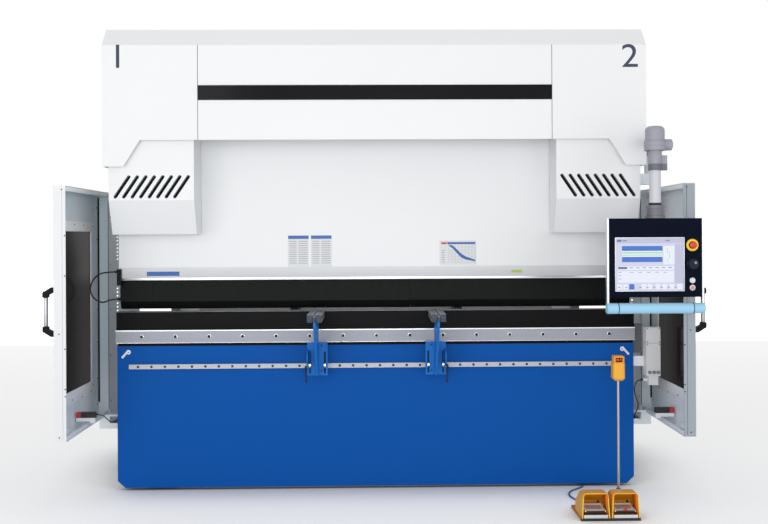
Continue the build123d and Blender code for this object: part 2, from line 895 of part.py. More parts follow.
for side, name in sides:
    with BuildPart() as panel:
        with BuildSketch(upright(side * guard_skin_x)):
            rectangle(depth(post_front), depth(panel_rear), tray_high, panel_high)
        extrude(amount=-side * guard_flange)
        with BuildSketch(upright(side * skin_inner)):
            rectangle(
                depth(post_rear), depth(panel_rear - guard_sheet),
                tray_high + guard_sheet, panel_high - guard_sheet,
            )
        extrude(amount=-side * guard_flange, mode=Mode.SUBTRACT)
        with BuildSketch(upright(side * guard_skin_x)):
            for group in louvre_groups:
                for count in range(louvre_count):
                    slot_z = group + count * louvre_pitch
                    rectangle(depth(louvre_front), depth(louvre_rear), slot_z, slot_z + louvre_width)
        extrude(amount=-side * 2 * guard_sheet, mode=Mode.SUBTRACT)
        for hinge_z in (door_low + hinge_inset, door_high - hinge_inset):
            with BuildSketch(Plane.XY.offset(hinge_z)):
                with Locations((side * (guard_skin_x + hinge_radius), depth(hinge_depth))):
                    Circle(hinge_radius)
                rectangle(
                    side * guard_skin_x, side * (guard_skin_x + guard_sheet),
                    depth(hinge_depth), depth(post_front + hinge_seat),
                )
            extrude(amount=-hinge_half)
    save(panel, f"side_panel_{name}")

    with BuildPart() as door:
        with BuildSketch(upright(side * guard_skin_x)):
            rectangle(depth(door_front), depth(door_rear), door_low, door_high)
        extrude(amount=-side * guard_flange)
        with BuildSketch(upright(side * skin_inner)):
            rectangle(
                depth(door_front + guard_sheet), depth(door_rear - guard_sheet),
                door_low + guard_sheet, door_high - guard_sheet,
            )
        extrude(amount=-side * guard_flange, mode=Mode.SUBTRACT)
        with BuildSketch(upright(side * guard_skin_x)):
            rectangle(depth(window_front), depth(window_rear), window_low, window_high)
        extrude(amount=-side * 2 * guard_sheet, mode=Mode.SUBTRACT)
        for hinge_z in (door_low + hinge_inset, door_high - hinge_inset):
            with BuildSketch(Plane.XY.offset(hinge_z + hinge_gap)):
                with Locations((side * (guard_skin_x + hinge_radius), depth(hinge_depth))):
                    Circle(hinge_radius)
                rectangle(
                    side * guard_skin_x, side * (guard_skin_x + guard_sheet),
                    depth(hinge_depth - 2 * hinge_seat), depth(hinge_depth),
                )
            extrude(amount=hinge_half)
        with BuildSketch(upright(side * skin_inner)):
            with Locations((depth(stop_block_depth), door_low + guard_sheet + stop_block / 2)):
                Circle(stop_block / 2)
            rectangle(
                depth(stop_block_depth) - stop_block / 2, depth(stop_block_depth) + stop_block / 2,
                door_low + guard_sheet, door_low + guard_sheet + stop_block / 2,
            )
        extrude(amount=-side * stop_block)
    save(door, f"door_{name}")

    with BuildPart() as window:
        with BuildSketch(upright(side * skin_inner)):
            rectangle(
                depth(window_front - window_lap), depth(window_rear + window_lap),
                window_low - window_lap, window_high + window_lap,
            )
        extrude(amount=-side * window_thick)
    save(window, f"door_window_{name}")

    with BuildPart() as handle:
        grip_x = guard_skin_x + handle_reach - handle_radius
        with BuildSketch(Plane.XY.offset(handle_middle - handle_height / 2 + handle_step)):
            with Locations((side * grip_x, depth(handle_depth))):
                Circle(handle_radius)
        extrude(amount=handle_height - 2 * handle_step)
        with BuildSketch(facing(handle_depth - handle_foot / 2)):
            for end in (-1, 1):
                tip = handle_middle + end * handle_height / 2
                knuckle_out = grip_x + handle_radius + handle_wall
                knuckle_in = grip_x - handle_radius - handle_wall
                outline([
                    (side * guard_skin_x, tip),
                    (side * (guard_skin_x + handle_reach / 2), tip),
                    (side * knuckle_out, tip - end * handle_step),
                    (side * knuckle_out, tip - end * handle_knuckle),
                    (side * knuckle_in, tip - end * handle_knuckle),
                    (side * knuckle_in, tip - end * (handle_step + handle_arm / 2)),
                    (side * (guard_skin_x + handle_arm), tip - end * handle_arm),
                    (side * guard_skin_x, tip - end * handle_arm),
                ])
        extrude(amount=-handle_foot)
    save(handle, f"door_handle_{name}")

# Door interlocks: a switch on a bent arm from each frame, reaching forward beside the door
switch_outer = skin_inner - switch_gap
switch_inner = switch_outer - switch_length
arm_high = switch_arm_low + switch_arm_thick
with BuildPart() as switches:
    for side, name in sides:
        with BuildSketch(Plane.XY.offset(switch_arm_low)):
            rectangle(
                side * frame_outer, side * (switch_inner + switch_arm_width),
                depth(switch_arm_depth), depth(switch_arm_depth + switch_arm_width),
            )
            rectangle(
                side * switch_inner, side * (switch_inner + switch_arm_width),
                depth(switch_depth - switch_size / 2), depth(switch_arm_depth + switch_arm_width),
            )
        extrude(amount=switch_arm_thick)
        with BuildSketch(Plane.XY.offset(arm_high)):
            rectangle(
                side * switch_inner, side * switch_outer,
                depth(switch_depth - switch_size / 2), depth(switch_depth + switch_size / 2),
            )
        extrude(amount=switch_foot + switch_size)
save(switches, "interlock_switches")

# Guide rail along the bed plate
with BuildPart() as guide:
    with BuildSketch(upright(-guide_half)):
        rectangle(
            depth(-guide_thick), depth(0),
            guide_middle - guide_height / 2, guide_middle + guide_height / 2,
        )
    extrude(amount=2 * guide_half)
save(guide, "guide_rail")

# Sheet supports: a carriage clamped on the rail and a height-set arm on its front
rail_clear = guide_height / 2 + carriage_clearance
carriage_front = -guide_thick - carriage_thick
arm_back = carriage_front - carriage_clearance
for side, name in sides:
    middle = side * carriage_x
    with BuildPart() as carriage:
        with BuildSketch(upright(middle - carriage_half)):
            rectangle(depth(carriage_front), depth(-carriage_clearance), carriage_low, carriage_high)
            rectangle(
                depth(-guide_thick - carriage_clearance), depth(0),
                guide_middle - rail_clear, guide_middle + rail_clear, mode=Mode.SUBTRACT,
            )
        extrude(amount=2 * carriage_half)
    save(carriage, f"carriage_{name}")

    with BuildPart() as arm:
        with BuildSketch(facing(arm_back)):
            rectangle(middle - plate_half, middle + plate_half, plate_low, plate_high)
            for slot_side in (-1, 1):
                slot_x = middle + slot_side * plate_slot_x
                rectangle(
                    slot_x - plate_slot / 2, slot_x + plate_slot / 2,
                    plate_slot_low, plate_slot_high, mode=Mode.SUBTRACT,
                )
        extrude(amount=plate_thick)
        with BuildSketch(upright(middle - web_thick / 2)):
            bar_low = bar_top - bar_height
            web_back = depth(arm_back - plate_thick)
            outline([
                (web_back, plate_low),
                (web_back - web_foot, plate_low),
                (depth(bar_front + web_nose), bar_low - web_nose),
                (depth(bar_front + web_nose), bar_low),
                (web_back + plate_thick, bar_low),
                (web_back + plate_thick, plate_high),
                (web_back, plate_high),
            ])
        extrude(amount=web_thick)
        with BuildSketch(upright(middle + side * plate_half)):
            with Locations((depth(arm_back - half_round_radius), half_round_middle)):
                Circle(half_round_radius)
        extrude(amount=-side * half_round_thick)
    save(arm, f"support_arm_{name}")

    with BuildPart() as bar:
        with BuildSketch(facing(bar_front)):
            rectangle(middle - bar_width / 2, middle + bar_width / 2, bar_low, bar_top)
            rectangle(
                middle - bar_slot / 2, middle + bar_slot / 2,
                bar_top - bar_slot_deep, bar_top, mode=Mode.SUBTRACT,
            )
        extrude(amount=bar_front - bar_back)
    save(bar, f"support_bar_{name}")

# Block at the right end of the die rail, and the junction box beside it
end_right = rail_length / 2 + end_width
with BuildPart() as end_block:
    with BuildSketch(facing(end_depth)):
        rectangle(rail_length / 2, end_right, rail_bottom, die_bottom + end_high)
        rectangle(bed_half, end_right, end_low, rail_bottom)
    extrude(amount=-end_thick)
save(end_block, "end_block")

junction_left = end_right + junction_gap
junction_right = junction_left + junction_width
with BuildPart() as junction_box:
    with BuildSketch(facing(junction_depth)):
        rectangle(junction_left, junction_right, junction_low, junction_high)
        rectangle(
            junction_left + junction_foot_inset, junction_right - junction_foot_inset,
            junction_foot_low, junction_low,
        )
    extrude(amount=-junction_thick)
    with BuildSketch(facing(junction_depth + junction_thick - junction_strap)):
        rectangle(bed_half, junction_left, junction_strap_low, junction_strap_high)
    extrude(amount=-junction_strap)
    plug_x, plug_depth, plug_z = junction_lead_route[0]
    with BuildSketch(upright(plug_x)):
        with Locations((depth(plug_depth), plug_z)):
            Circle(junction_lead_radius * 2.5)
    extrude(amount=junction_left + junction_foot_inset - plug_x)
    clip_x, clip_depth, clip_z = junction_lead_route[-1]
    with BuildSketch(Plane.XY.offset(clip_z)):
        rectangle(
            bed_half, 2 * clip_x - bed_half,
            depth(clip_depth) - junction_strap, depth(clip_depth) + junction_strap,
        )
    extrude(amount=-junction_strap * 2)
save(junction_box, "junction_box")

# Boom bracket on the right frame, the boom itself, and the pendant hung from it
with BuildPart() as bracket:
    with BuildSketch(Plane.XY.offset(bracket_low)):
        rectangle(
            frame_outer, post_x,
            depth(post_depth - bracket_depth / 2), depth(post_depth + bracket_depth / 2),
        )
        with Locations((post_x, depth(post_depth))):
            Circle(bracket_depth / 2)
    extrude(amount=bracket_high - bracket_low)
    with BuildSketch(Plane.XY.offset(bracket_high)):
        with Locations((post_x, depth(post_depth))):
            Circle(post_radius)
    extrude(amount=pivot_z - boom_height / 2 - carriage_clearance - bracket_high)
save(bracket, "boom_bracket")

boom_low = pivot_z - boom_height / 2
pendant_place = (pendant_x, depth(pendant_depth))
with BuildPart() as boom:
    reach_x = pendant_x - post_x
    reach_y = pendant_depth - post_depth
    boom_length = (reach_x**2 + reach_y**2) ** 0.5
    with BuildSketch(Plane.XY.offset(elbow_high)):
        with Locations(pendant_place):
            Circle(head_radius)
    extrude(amount=head_high - elbow_high)
    fillet(edges().sort_by(Axis.Z)[-1], head_round)
    along = Plane(
        origin=(post_x, depth(post_depth), boom_low), x_dir=(reach_x, reach_y, 0), z_dir=(0, 0, 1)
    )
    with BuildSketch(along):
        with Locations((boom_length / 2, 0)):
            Rectangle(boom_length, boom_width)
        Circle(boom_width * 0.8)
    extrude(amount=boom_height)
    with BuildSketch(Plane.XY.offset(sleeve_high)):
        with Locations(pendant_place):
            Circle(elbow_radius)
    extrude(amount=elbow_high - sleeve_high)
    with BuildSketch(Plane.XY.offset(drop_high)):
        with Locations(pendant_place):
            Circle(sleeve_radius)
    extrude(amount=sleeve_high - drop_high)
    with BuildSketch(upright(pendant_x)):
        with Locations((depth(pendant_depth), sleeve_high + knob_radius)):
            Circle(knob_radius)
    extrude(amount=knob_reach)
    with BuildSketch(Plane.XY.offset(drop_high)):
        rectangle(
            pendant_x, pendant_x + lever_reach,
            depth(pendant_depth) - lever_width / 2, depth(pendant_depth) + lever_width / 2,
        )
    extrude(amount=lever_high - drop_high)
save(boom, "boom")

joint_high = housing_high + joint_height
ring_pitch = joint_height / joint_rings
with BuildPart() as drop:
    with BuildSketch(Plane.XY.offset(housing_high)):
        with Locations(pendant_place):
            Circle(joint_core)
    extrude(amount=joint_height)
    for ring in range(joint_rings):
        with BuildSketch(Plane.XY.offset(housing_high + ring * ring_pitch)):
            with Locations(pendant_place):
                Circle(joint_radius - ring)
        extrude(amount=ring_pitch - joint_groove)
    with BuildSketch(Plane.XY.offset(joint_high)):
        with Locations(pendant_place):
            Circle(drop_radius)
    extrude(amount=drop_high - carriage_clearance - joint_high)
save(drop, "drop_tube")

screen_high = housing_high - screen_drop
with BuildPart() as housing:
    with BuildSketch(facing(housing_front)):
        rectangle(housing_left, housing_right, housing_low, housing_high)
    extrude(amount=-bezel_thick)
    fillet(edges().filter_by(Axis.X).group_by(Axis.Y)[0], housing_round)
    with BuildSketch(facing(housing_front + bezel_thick)):
        rectangle(
            housing_left + housing_inset, housing_right - housing_inset,
            housing_low + housing_inset, housing_high,
        )
    extrude(amount=-(housing_thick - bezel_thick))
    with BuildSketch(facing(housing_front)):
        rectangle(
            housing_left + screen_margin_left, housing_right - screen_margin_right,
            housing_low + screen_rise, screen_high,
        )
        brow = housing_high - brow_drop
        rectangle(housing_left, housing_right, brow - brow_groove / 2, brow + brow_groove / 2)
    extrude(amount=-screen_sink, mode=Mode.SUBTRACT)
save(housing, "pendant_housing")

grip_z = housing_low - grip_drop
with BuildPart() as grip:
    with BuildSketch(upright(housing_left - cheek_thick)):
        with Locations((depth(grip_front), grip_z)):
            Circle(grip_radius)
    extrude(amount=housing_right - housing_left + 2 * cheek_thick)
save(grip, "pendant_grip")

with BuildPart() as cheeks:
    with BuildSketch(facing(housing_front)):
        rectangle(housing_left - cheek_thick, housing_left, grip_z, housing_high)
        rectangle(housing_right, housing_right + cheek_thick, grip_z, housing_high)
    extrude(amount=-cheek_depth)
    add(grip.part, mode=Mode.SUBTRACT)
save(cheeks, "pendant_cheeks")

stop_x = housing_right - stop_inset
stop_z = housing_high - stop_drop
with BuildPart() as controls:
    with BuildSketch(facing(housing_front)):
        with Locations((stop_x, stop_z)):
            Circle(stop_collar)
        with Locations(*[(stop_x, housing_high - drop) for drop in button_drops]):
            Circle(button_radius)
    extrude(amount=7)
    with BuildSketch(facing(housing_front)):
        with Locations((stop_x, stop_z)):
            Circle(stop_head)
        with Locations((stop_x, housing_high - knob_drop)):
            Circle(dial_radius)
    extrude(amount=26)
save(controls, "pendant_controls")

# Foot pedal: base, two hoods, hinged treads, and a pole with its stop box
with BuildPart() as base:
    with BuildSketch(Plane.XY):
        rectangle(
            pedal_x - pedal_width / 2 - pedal_lip, pedal_x + pedal_width / 2 + pedal_lip,
            depth(pedal_front), depth(pole_depth + pole_margin),
        )
    extrude(amount=pedal_base_height)
    exit_x, exit_depth, exit_z = pedal_lead_route[0]
    with BuildSketch(facing(pole_depth + pole_margin)):
        with Locations((exit_x, exit_z)):
            Circle(pedal_lead_radius + 1)
    extrude(amount=pole_depth + pole_margin - exit_depth)
save(base, "pedal_base")

hood_width = (pedal_width - hood_gap) / 2
hood_places = [pedal_x + side * (hood_width + hood_gap) / 2 for side, name in sides]


def arch(middle, inset):
    """Front view of one hood: leaning sides and rounded shoulders."""
    low = hood_width / 2 - inset
    high = low - hood_taper
    top = pedal_height - inset
    corners = [
        (middle - low, pedal_base_height), (middle - high, top),
        (middle + high, top), (middle + low, pedal_base_height),
    ]
    with BuildLine() as run:
        FilletPolyline(*corners, radius=hood_corner - inset)
        Line(corners[-1], corners[0])
    make_face(run.edges())


with BuildPart() as foot_room:
    with BuildSketch(facing(pedal_front)):
        for hood_x in hood_places:
            arch(hood_x, hood_sheet)
    extrude(amount=pedal_front - pedal_back + hood_sheet)
    with BuildSketch(upright(pedal_x - pedal_width)):
        outline([
            (depth(pedal_front), pedal_base_height),
            (depth(pedal_front), pedal_height),
            (depth(pedal_front + hood_roof) - hood_sheet / 2, pedal_height),
            (depth(pedal_back) - hood_sheet, hood_rear_height),
            (depth(pedal_back) - hood_sheet, pedal_base_height),
        ])
    extrude(amount=pedal_width * 2, mode=Mode.INTERSECT)

with BuildPart() as hoods:
    with BuildSketch(facing(pedal_front)):
        for hood_x in hood_places:
            arch(hood_x, 0)
    extrude(amount=pedal_front - pedal_back)
    with BuildSketch(upright(pedal_x - pedal_width)):
        outline([
            (depth(pedal_front), pedal_base_height),
            (depth(pedal_front + hood_lean), pedal_height),
            (depth(pedal_front + hood_roof), pedal_height),
            (depth(pedal_back), hood_rear_height + hood_sheet),
            (depth(pedal_back), pedal_base_height),
        ])
    extrude(amount=pedal_width * 2, mode=Mode.INTERSECT)
    add(foot_room.part, mode=Mode.SUBTRACT)
    for hood_x in hood_places:
        with BuildSketch(upright(hood_x - hood_width / 2 + hood_sheet)):
            with Locations((depth(tread_hinge_depth), tread_hinge_z)):
                Circle(tread_hinge_radius)
        extrude(amount=hood_width - 2 * hood_sheet)
save(hoods, "pedal_hoods")

for (side, name), tread_x in zip(sides, hood_places):
    with BuildPart() as tread:
        with BuildSketch(upright(tread_x - tread_width / 2)):
            outline([
                (depth(tread_front), tread_lift),
                (depth(tread_hinge_depth), tread_hinge_z),
                (depth(tread_hinge_depth), tread_hinge_z + tread_thick),
                (depth(tread_front), tread_lift + tread_thick),
            ])
            with Locations((depth(tread_hinge_depth), tread_hinge_z)):
                Circle(tread_hinge_radius + tread_eye)
                Circle(tread_hinge_radius + tread_play, mode=Mode.SUBTRACT)
        extrude(amount=tread_width)
    save(tread, f"tread_{name}")

with BuildPart() as pole:
    with BuildSketch(Plane.XY.offset(pedal_base_height)):
        with Locations((pole_x, depth(pole_depth))):
            Circle(pole_radius)
    extrude(amount=stop_cup_low - pedal_base_height)
save(pole, "pedal_pole")

with BuildPart() as stop_box:
    with BuildSketch(Plane.XY.offset(stop_cup_low)):
        with Locations((pole_x, depth(pole_depth))):
            RectangleRounded(stop_cup_width, stop_cup_width, stop_cup_round)
    extrude(amount=stop_cup_high - stop_cup_low)
    chamfer(faces().sort_by(Axis.Z)[0].edges(), stop_cup_round * 0.8)
    with BuildSketch(Plane.XY.offset(stop_cup_high)):
        with Locations((pole_x, depth(pole_depth))):
            RectangleRounded(stop_box_width, stop_box_width, stop_cup_round / 2)
    extrude(amount=stop_box_high - stop_cup_high)
    with BuildSketch(facing(pole_depth - stop_box_width / 2)):
        mouth_z = (stop_cup_high + stop_box_high) / 2
        rectangle(
            pole_x - stop_mouth_width / 2, pole_x + stop_mouth_width / 2,
            mouth_z - stop_mouth_height / 2, mouth_z + stop_mouth_height / 2,
        )
    extrude(amount=-stop_mouth_depth, mode=Mode.SUBTRACT)
save(stop_box, "stop_box")

# Backgauge behind the tools: two rails, a beam across them and its two fingers
gauge_beam_half = frame_half - gauge_beam_inset
gauge_beam_rear = gauge_beam_front + gauge_beam_depth
gauge_beam_top = gauge_rail_high + gauge_beam_height
with BuildPart() as gauge:
    for side, name in sides:
        with BuildSketch(upright(side * gauge_rail_x)):
            rail_start = bed_plate_thick + bed_beam_thick
            rectangle(depth(rail_start), depth(gauge_rail_rear), gauge_rail_low, gauge_rail_high)
        extrude(amount=side * gauge_rail_width)
    with BuildSketch(upright(-gauge_beam_half)):
        rectangle(depth(gauge_beam_front), depth(gauge_beam_rear), gauge_rail_high, gauge_beam_top)
    extrude(amount=2 * gauge_beam_half)
    for side, name in sides:
        with BuildSketch(upright(side * finger_x)):
            outline([
                (depth(finger_tip), finger_low),
                (depth(finger_tip), finger_high),
                (depth(gauge_beam_rear), finger_high),
                (depth(gauge_beam_rear), gauge_beam_top),
                (depth(gauge_beam_front), gauge_beam_top),
                (depth(gauge_beam_front) - finger_width / 2, finger_low),
            ])
        extrude(amount=side * finger_width)
save(gauge, "backgauge")

# Leads: ram, junction box, left interlock and foot pedal
leads = (
    ("ram_lead", ram_lead_route, ram_lead_radius),
    ("junction_lead", junction_lead_route, junction_lead_radius),
    ("interlock_lead", interlock_lead_route, interlock_lead_radius),
    ("pedal_lead", pedal_lead_route, pedal_lead_radius),
)
for name, route, radius in leads:
    with BuildPart() as cable:
        lead(route, radius)
    save(cable, name)
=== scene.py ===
import math

import bmesh
import bpy
from mathutils import Matrix, Vector


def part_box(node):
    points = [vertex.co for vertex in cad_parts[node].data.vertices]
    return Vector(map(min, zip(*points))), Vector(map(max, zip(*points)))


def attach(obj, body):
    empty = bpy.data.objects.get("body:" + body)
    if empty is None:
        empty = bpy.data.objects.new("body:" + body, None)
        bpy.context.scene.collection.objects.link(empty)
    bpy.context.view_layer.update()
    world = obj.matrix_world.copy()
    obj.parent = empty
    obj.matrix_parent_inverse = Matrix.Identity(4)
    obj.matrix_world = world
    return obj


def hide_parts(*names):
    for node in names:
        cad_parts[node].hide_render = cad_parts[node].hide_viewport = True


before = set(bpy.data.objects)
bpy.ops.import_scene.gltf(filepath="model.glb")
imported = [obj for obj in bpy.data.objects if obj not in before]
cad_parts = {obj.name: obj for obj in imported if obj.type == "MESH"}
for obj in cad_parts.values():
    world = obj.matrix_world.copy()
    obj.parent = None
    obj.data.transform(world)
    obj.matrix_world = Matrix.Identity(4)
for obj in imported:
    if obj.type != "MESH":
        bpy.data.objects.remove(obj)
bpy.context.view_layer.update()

# Camera, level with the ram and six metres in front of the bed, turned and rolled very
# slightly, with the lens shifted so that the machine stands where the picture has it.
eye_distance = 6.0
eye_height = 1.506
eye_side = -0.015
eye_yaw = math.radians(1.1)
eye_roll = math.radians(0.29)
picture_width = 768
focal_pixels = 1000.0
sensor = 36.0

bed_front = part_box("bed_plate")[0][1]
lens = bpy.data.cameras.new("camera")
lens.sensor_width = sensor
lens.lens = focal_pixels * sensor / picture_width
lens.shift_x = -0.0113
lens.shift_y = -0.0326
lens.clip_end = 60
camera = bpy.data.objects.new("camera", lens)
bpy.context.scene.collection.objects.link(camera)
camera.matrix_world = (
    Matrix.Translation((eye_side, bed_front - eye_distance, eye_height))
    @ Matrix.Rotation(-eye_yaw, 4, "Z")
    @ Matrix.Rotation(math.pi / 2, 4, "X")
    @ Matrix.Rotation(-eye_roll, 4, "Z")
)
bpy.context.scene.camera = camera
bpy.context.scene.view_settings.view_transform = "Standard"


# Leads: round cables in a soft PVC sheath, each held in its plug or gland by a ribbed rubber
# sleeve that keeps it from kinking.
class Wire:
    """One output of a shader node. Sums and products of it add their own Math nodes."""

    def __init__(self, socket):
        self.socket = socket
        self.tree = socket.id_data

    def make(self, kind, settings=None, sockets=None, out=0):
        """Add a node with its settings and its sockets' values or links; give its output."""
        node = self.tree.nodes.new(kind)
        for name, value in (settings or {}).items():
            setattr(node, name, value)
        for name, value in (sockets or {}).items():
            self.feed(node.inputs[name], value)
        return Wire(node.outputs[out])

    def feed(self, socket, value):
        """Link a Wire to a socket, or set the socket to a plain value."""
        if isinstance(value, Wire):
            self.tree.links.new(value.socket, socket)
        else:
            socket.default_value = value

    def maths(self, operation, first, second):
        return self.make("ShaderNodeMath", {"operation": operation}, {0: first, 1: second})

    def __add__(self, other):
        return self.maths("ADD", self, other)

    __radd__ = __add__

    def __mul__(self, other):
        return self.maths("MULTIPLY", self, other)

    __rmul__ = __mul__

    def __gt__(self, other):
        return self.maths("GREATER_THAN", self, other)

    def __lt__(self, other):
        return self.maths("LESS_THAN", self, other)

    def axis(self, name):
        """One of the three numbers of a vector."""
        return self.make("ShaderNodeSeparateXYZ", None, {0: self}, "XYZ".index(name))

    def noise(self, scale, detail=3.0, stretch=(1, 1, 1)):
        """Noise on this vector, its cells stretched by making one of its scales small."""
        spread = self.make("ShaderNodeMapping", None, {"Vector": self, "Scale": stretch})
        return self.make(
            "ShaderNodeTexNoise", None, {"Vector": spread, "Scale": scale, "Detail": detail}
        )

    def ramp(self, low, high):
        """Rise from 0 to 1 as this value goes from low to high, and stay there."""
        return self.make("ShaderNodeMapRange", None, {0: self, 1: low, 2: high})

    def blend(self, first, second):
        """Mix two colours by this value."""
        return self.make(
            "ShaderNodeMix",
            {"data_type": "RGBA"},
            {0: self, 6: first if isinstance(first, Wire) else (*first, 1.0),
             7: second if isinstance(second, Wire) else (*second, 1.0)},
            2,
        )

    def bump(self, height, strength=0.3):
        """Normal from a height in metres."""
        return self.make(
            "ShaderNodeBump", None, {"Height": self, "Distance": height, "Strength": strength}
        )


class Finish:
    """A material with one Principled shader, whose sockets take values or Wires."""

    def __init__(self, name):
        self.material = bpy.data.materials.new(name)
        self.material.use_nodes = True
        nodes = self.material.node_tree.nodes
        self.shader = next(node for node in nodes if node.type == "BSDF_PRINCIPLED")
        self.place = Wire(nodes.new("ShaderNodeTexCoord").outputs["Object"])

    def set(self, **sockets):
        """Set sockets by name, with underscores for spaces."""
        for name, value in sockets.items():
            socket = self.shader.inputs[name.replace("_", " ")]
            if not isinstance(value, Wire) and socket.type == "RGBA":
                value = (*value, 1.0)
            self.place.feed(socket, value)
        return self.material


def moulded(name, colour, roughness, grain=0.00008, specular=0.5):
    """Moulded plastic or rubber with a fine grain and a slightly paler cloud in its colour."""
    finish = Finish(name)
    grains = finish.place.noise(900.0, 2.0)
    cloud = finish.place.noise(6.0)
    pale = tuple(channel * 1.2 + 0.004 for channel in colour)
    finish.set(
        Base_Color=(cloud * 0.5).blend(colour, pale),
        Roughness=roughness + grains * 0.08,
        Specular_IOR_Level=specular,
        Normal=grains.bump(grain),
    )
    return finish.material


def at(x, back, up):
    """Point from millimetres: across, behind the bed plate's front face, above the floor."""
    return Vector((x / 1000, bed_front + back / 1000, up / 1000))


def turned(shape, section, place, outward, steps=20):
    """Spin a section, pairs of radius and height in mm, about an axis that leaves a place."""
    stood = set(shape.verts)
    points = [shape.verts.new((radius / 1000, 0, height / 1000)) for radius, height in section]
    edges = [shape.edges.new(pair) for pair in zip(points[:-1], points[1:])]
    bmesh.ops.spin(
        shape, geom=points + edges, cent=(0, 0, 0), axis=(0, 0, 1), angle=math.tau,
        steps=steps, use_merge=True,
    )
    made = [point for point in shape.verts if point not in stood]
    bmesh.ops.remove_doubles(shape, verts=made, dist=1e-6)
    made = [point for point in shape.verts if point not in stood]
    turn = Vector(outward).to_track_quat("Z", "Y").to_matrix().to_4x4()
    bmesh.ops.transform(shape, matrix=Matrix.Translation(place) @ turn, verts=made)


def settle(name, shape, material, body, sharp=35):
    """Turn a finished shape into an object, shade it, and fix it to its body."""
    bmesh.ops.recalc_face_normals(shape, faces=shape.faces)
    mesh = bpy.data.meshes.new(name)
    shape.to_mesh(mesh)
    shape.free()
    mesh.materials.append(material)
    mesh.shade_smooth()
    mesh.set_sharp_from_angle(angle=math.radians(sharp))
    piece = bpy.data.objects.new(name, mesh)
    bpy.context.scene.collection.objects.link(piece)
    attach(piece, body)
    return piece


black_sheath = moulded("black_sheath", (0.014, 0.014, 0.015), 0.42)
blue_sheath = moulded("blue_sheath", (0.045, 0.12, 0.30), 0.38)
rubber = moulded("rubber", (0.012, 0.012, 0.013), 0.6, 0.0002)
leads = (
    ("ram_lead", "ram", black_sheath, "black_plastic", 4.5, 1.9, 0.440, (
        (-1541, -18, 1306), (-1590, -18, 1306), (-1650, -12, 1296), (-1694, -2, 1254),
        (-1712, 8, 1198), (-1692, 20, 1146), (-1644, 34, 1116), (-1596, 50, 1140),
        (-1547, 50, 1140),
    )),
    ("junction_lead", "root", black_sheath, "black_plastic", 3.5, 1.9, 0.288, (
        (1600, -20, 641), (1571, -20, 641), (1552, -18, 614), (1549, -14, 575), (1562, -5, 530),
        (1580, 8, 492), (1576, 22, 455), (1560, 30, 425), (1560, 30, 400),
    )),
    ("interlock_lead", "root", black_sheath, "black_plastic", 3.0, 1.9, 0.493, (
        (-1640, -130, 478), (-1602, -130, 478), (-1580, -96, 442), (-1580, -30, 415),
        (-1572, 45, 402), (-1530, 105, 398), (-1460, 120, 396), (-1398, 118, 394),
        (-1342, 118, 394),
    )),
    ("pedal_lead", "root", blue_sheath, "blue_sheath", 4.0, 1.22, 0.562, (
        (1150, -456, 5), (1150, -400, 5), (1128, -320, 5), (1108, -235, 5), (1125, -150, 5),
        (1176, -88, 5), (1226, -40, 5), (1240, 10, 5), (1240, 62, 5),
    )),
)
rib_count = 4
rib_pitch = 4
sleeve_tip = 1.2
for name, body, sheath, slot, radius, fat, length, route in leads:
    line = bpy.data.curves.new(name + "_line", "CURVE")
    line.dimensions = "3D"
    line.bevel_depth = radius / 1000
    line.bevel_resolution = 5
    line.resolution_u = 16
    line.use_fill_caps = True
    spline = line.splines.new("NURBS")
    spline.points.add(len(route) - 1)
    for point, stop in zip(spline.points, route):
        point.co = (*at(*stop), 1.0)
    spline.order_u = 3
    spline.use_endpoint_u = True
    line.materials.append(sheath)
    cable = bpy.data.objects.new(name + "_sheath", line)
    bpy.context.scene.collection.objects.link(cable)
    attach(cable, body)
    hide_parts(name)

    sleeves = bmesh.new()
    bore = radius * 1.03
    for end, towards in ((route[0], route[1]), (route[-1], route[-2])):
        section = [(bore, 0), (radius * fat, 0)]
        for rib in range(rib_count):
            width = radius * (fat - rib * (fat - sleeve_tip) / rib_count)
            neck = (width + radius * 1.1) / 2
            foot = rib * rib_pitch
            section += [(width, foot + 2.6), (neck, foot + 3.0), (neck, foot + rib_pitch)]
        section += [(bore, rib_count * rib_pitch), (bore, 0)]
        turned(sleeves, section, at(*end), at(*towards) - at(*end), 16)
    sleeve = settle(name + "_sleeves", sleeves, rubber, body)
    at(*route[0])


# White covers: folded sheet steel, degreased and powder coated, hung edge to edge with a strip
# of dark sealing cord showing in the joints between them, and a painted number at each end.
def painted(name, colour, roughness=0.38, dust=0.05, peel=0.00006, specular=0.5):
    """Sprayed or powder-coated paint: even colour, orange peel, faint dust in patches."""
    finish = Finish(name)
    cloud = finish.place.noise(1.7, 4.0)
    fine = finish.place.noise(420.0, 2.0)
    dusty = tuple(channel * 0.86 + 0.03 for channel in colour)
    finish.set(
        Base_Color=(cloud * cloud * dust * 4.0).blend(colour, dusty),
        Roughness=roughness + cloud * 0.10 + fine * 0.04,
        Specular_IOR_Level=specular,
        Normal=fine.bump(peel),
    )
    return finish.material


def coat(material, *nodes):
    """Put a material in every slot of these CAD nodes."""
    for node in nodes:
        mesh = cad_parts[node].data
        mesh.materials.clear()
        mesh.materials.append(material)


def block(shape, low, high, edge=1.0, steps=2):
    """Add a block between two corners, in mm, with its edges rounded."""
    first, last = at(*low), at(*high)
    size = [abs(b - a) for a, b in zip(first, last)]
    made = bmesh.ops.create_cube(
        shape, size=1.0,
        matrix=Matrix.Translation((first + last) / 2) @ Matrix.Diagonal((*size, 1.0)),
    )
    if edge:
        edges = {line for point in made["verts"] for line in point.link_edges}
        bmesh.ops.bevel(
            shape, geom=list(edges), offset=edge / 1000, offset_type="OFFSET", segments=steps,
            profile=0.5, affect="EDGES", material=-1,
        )


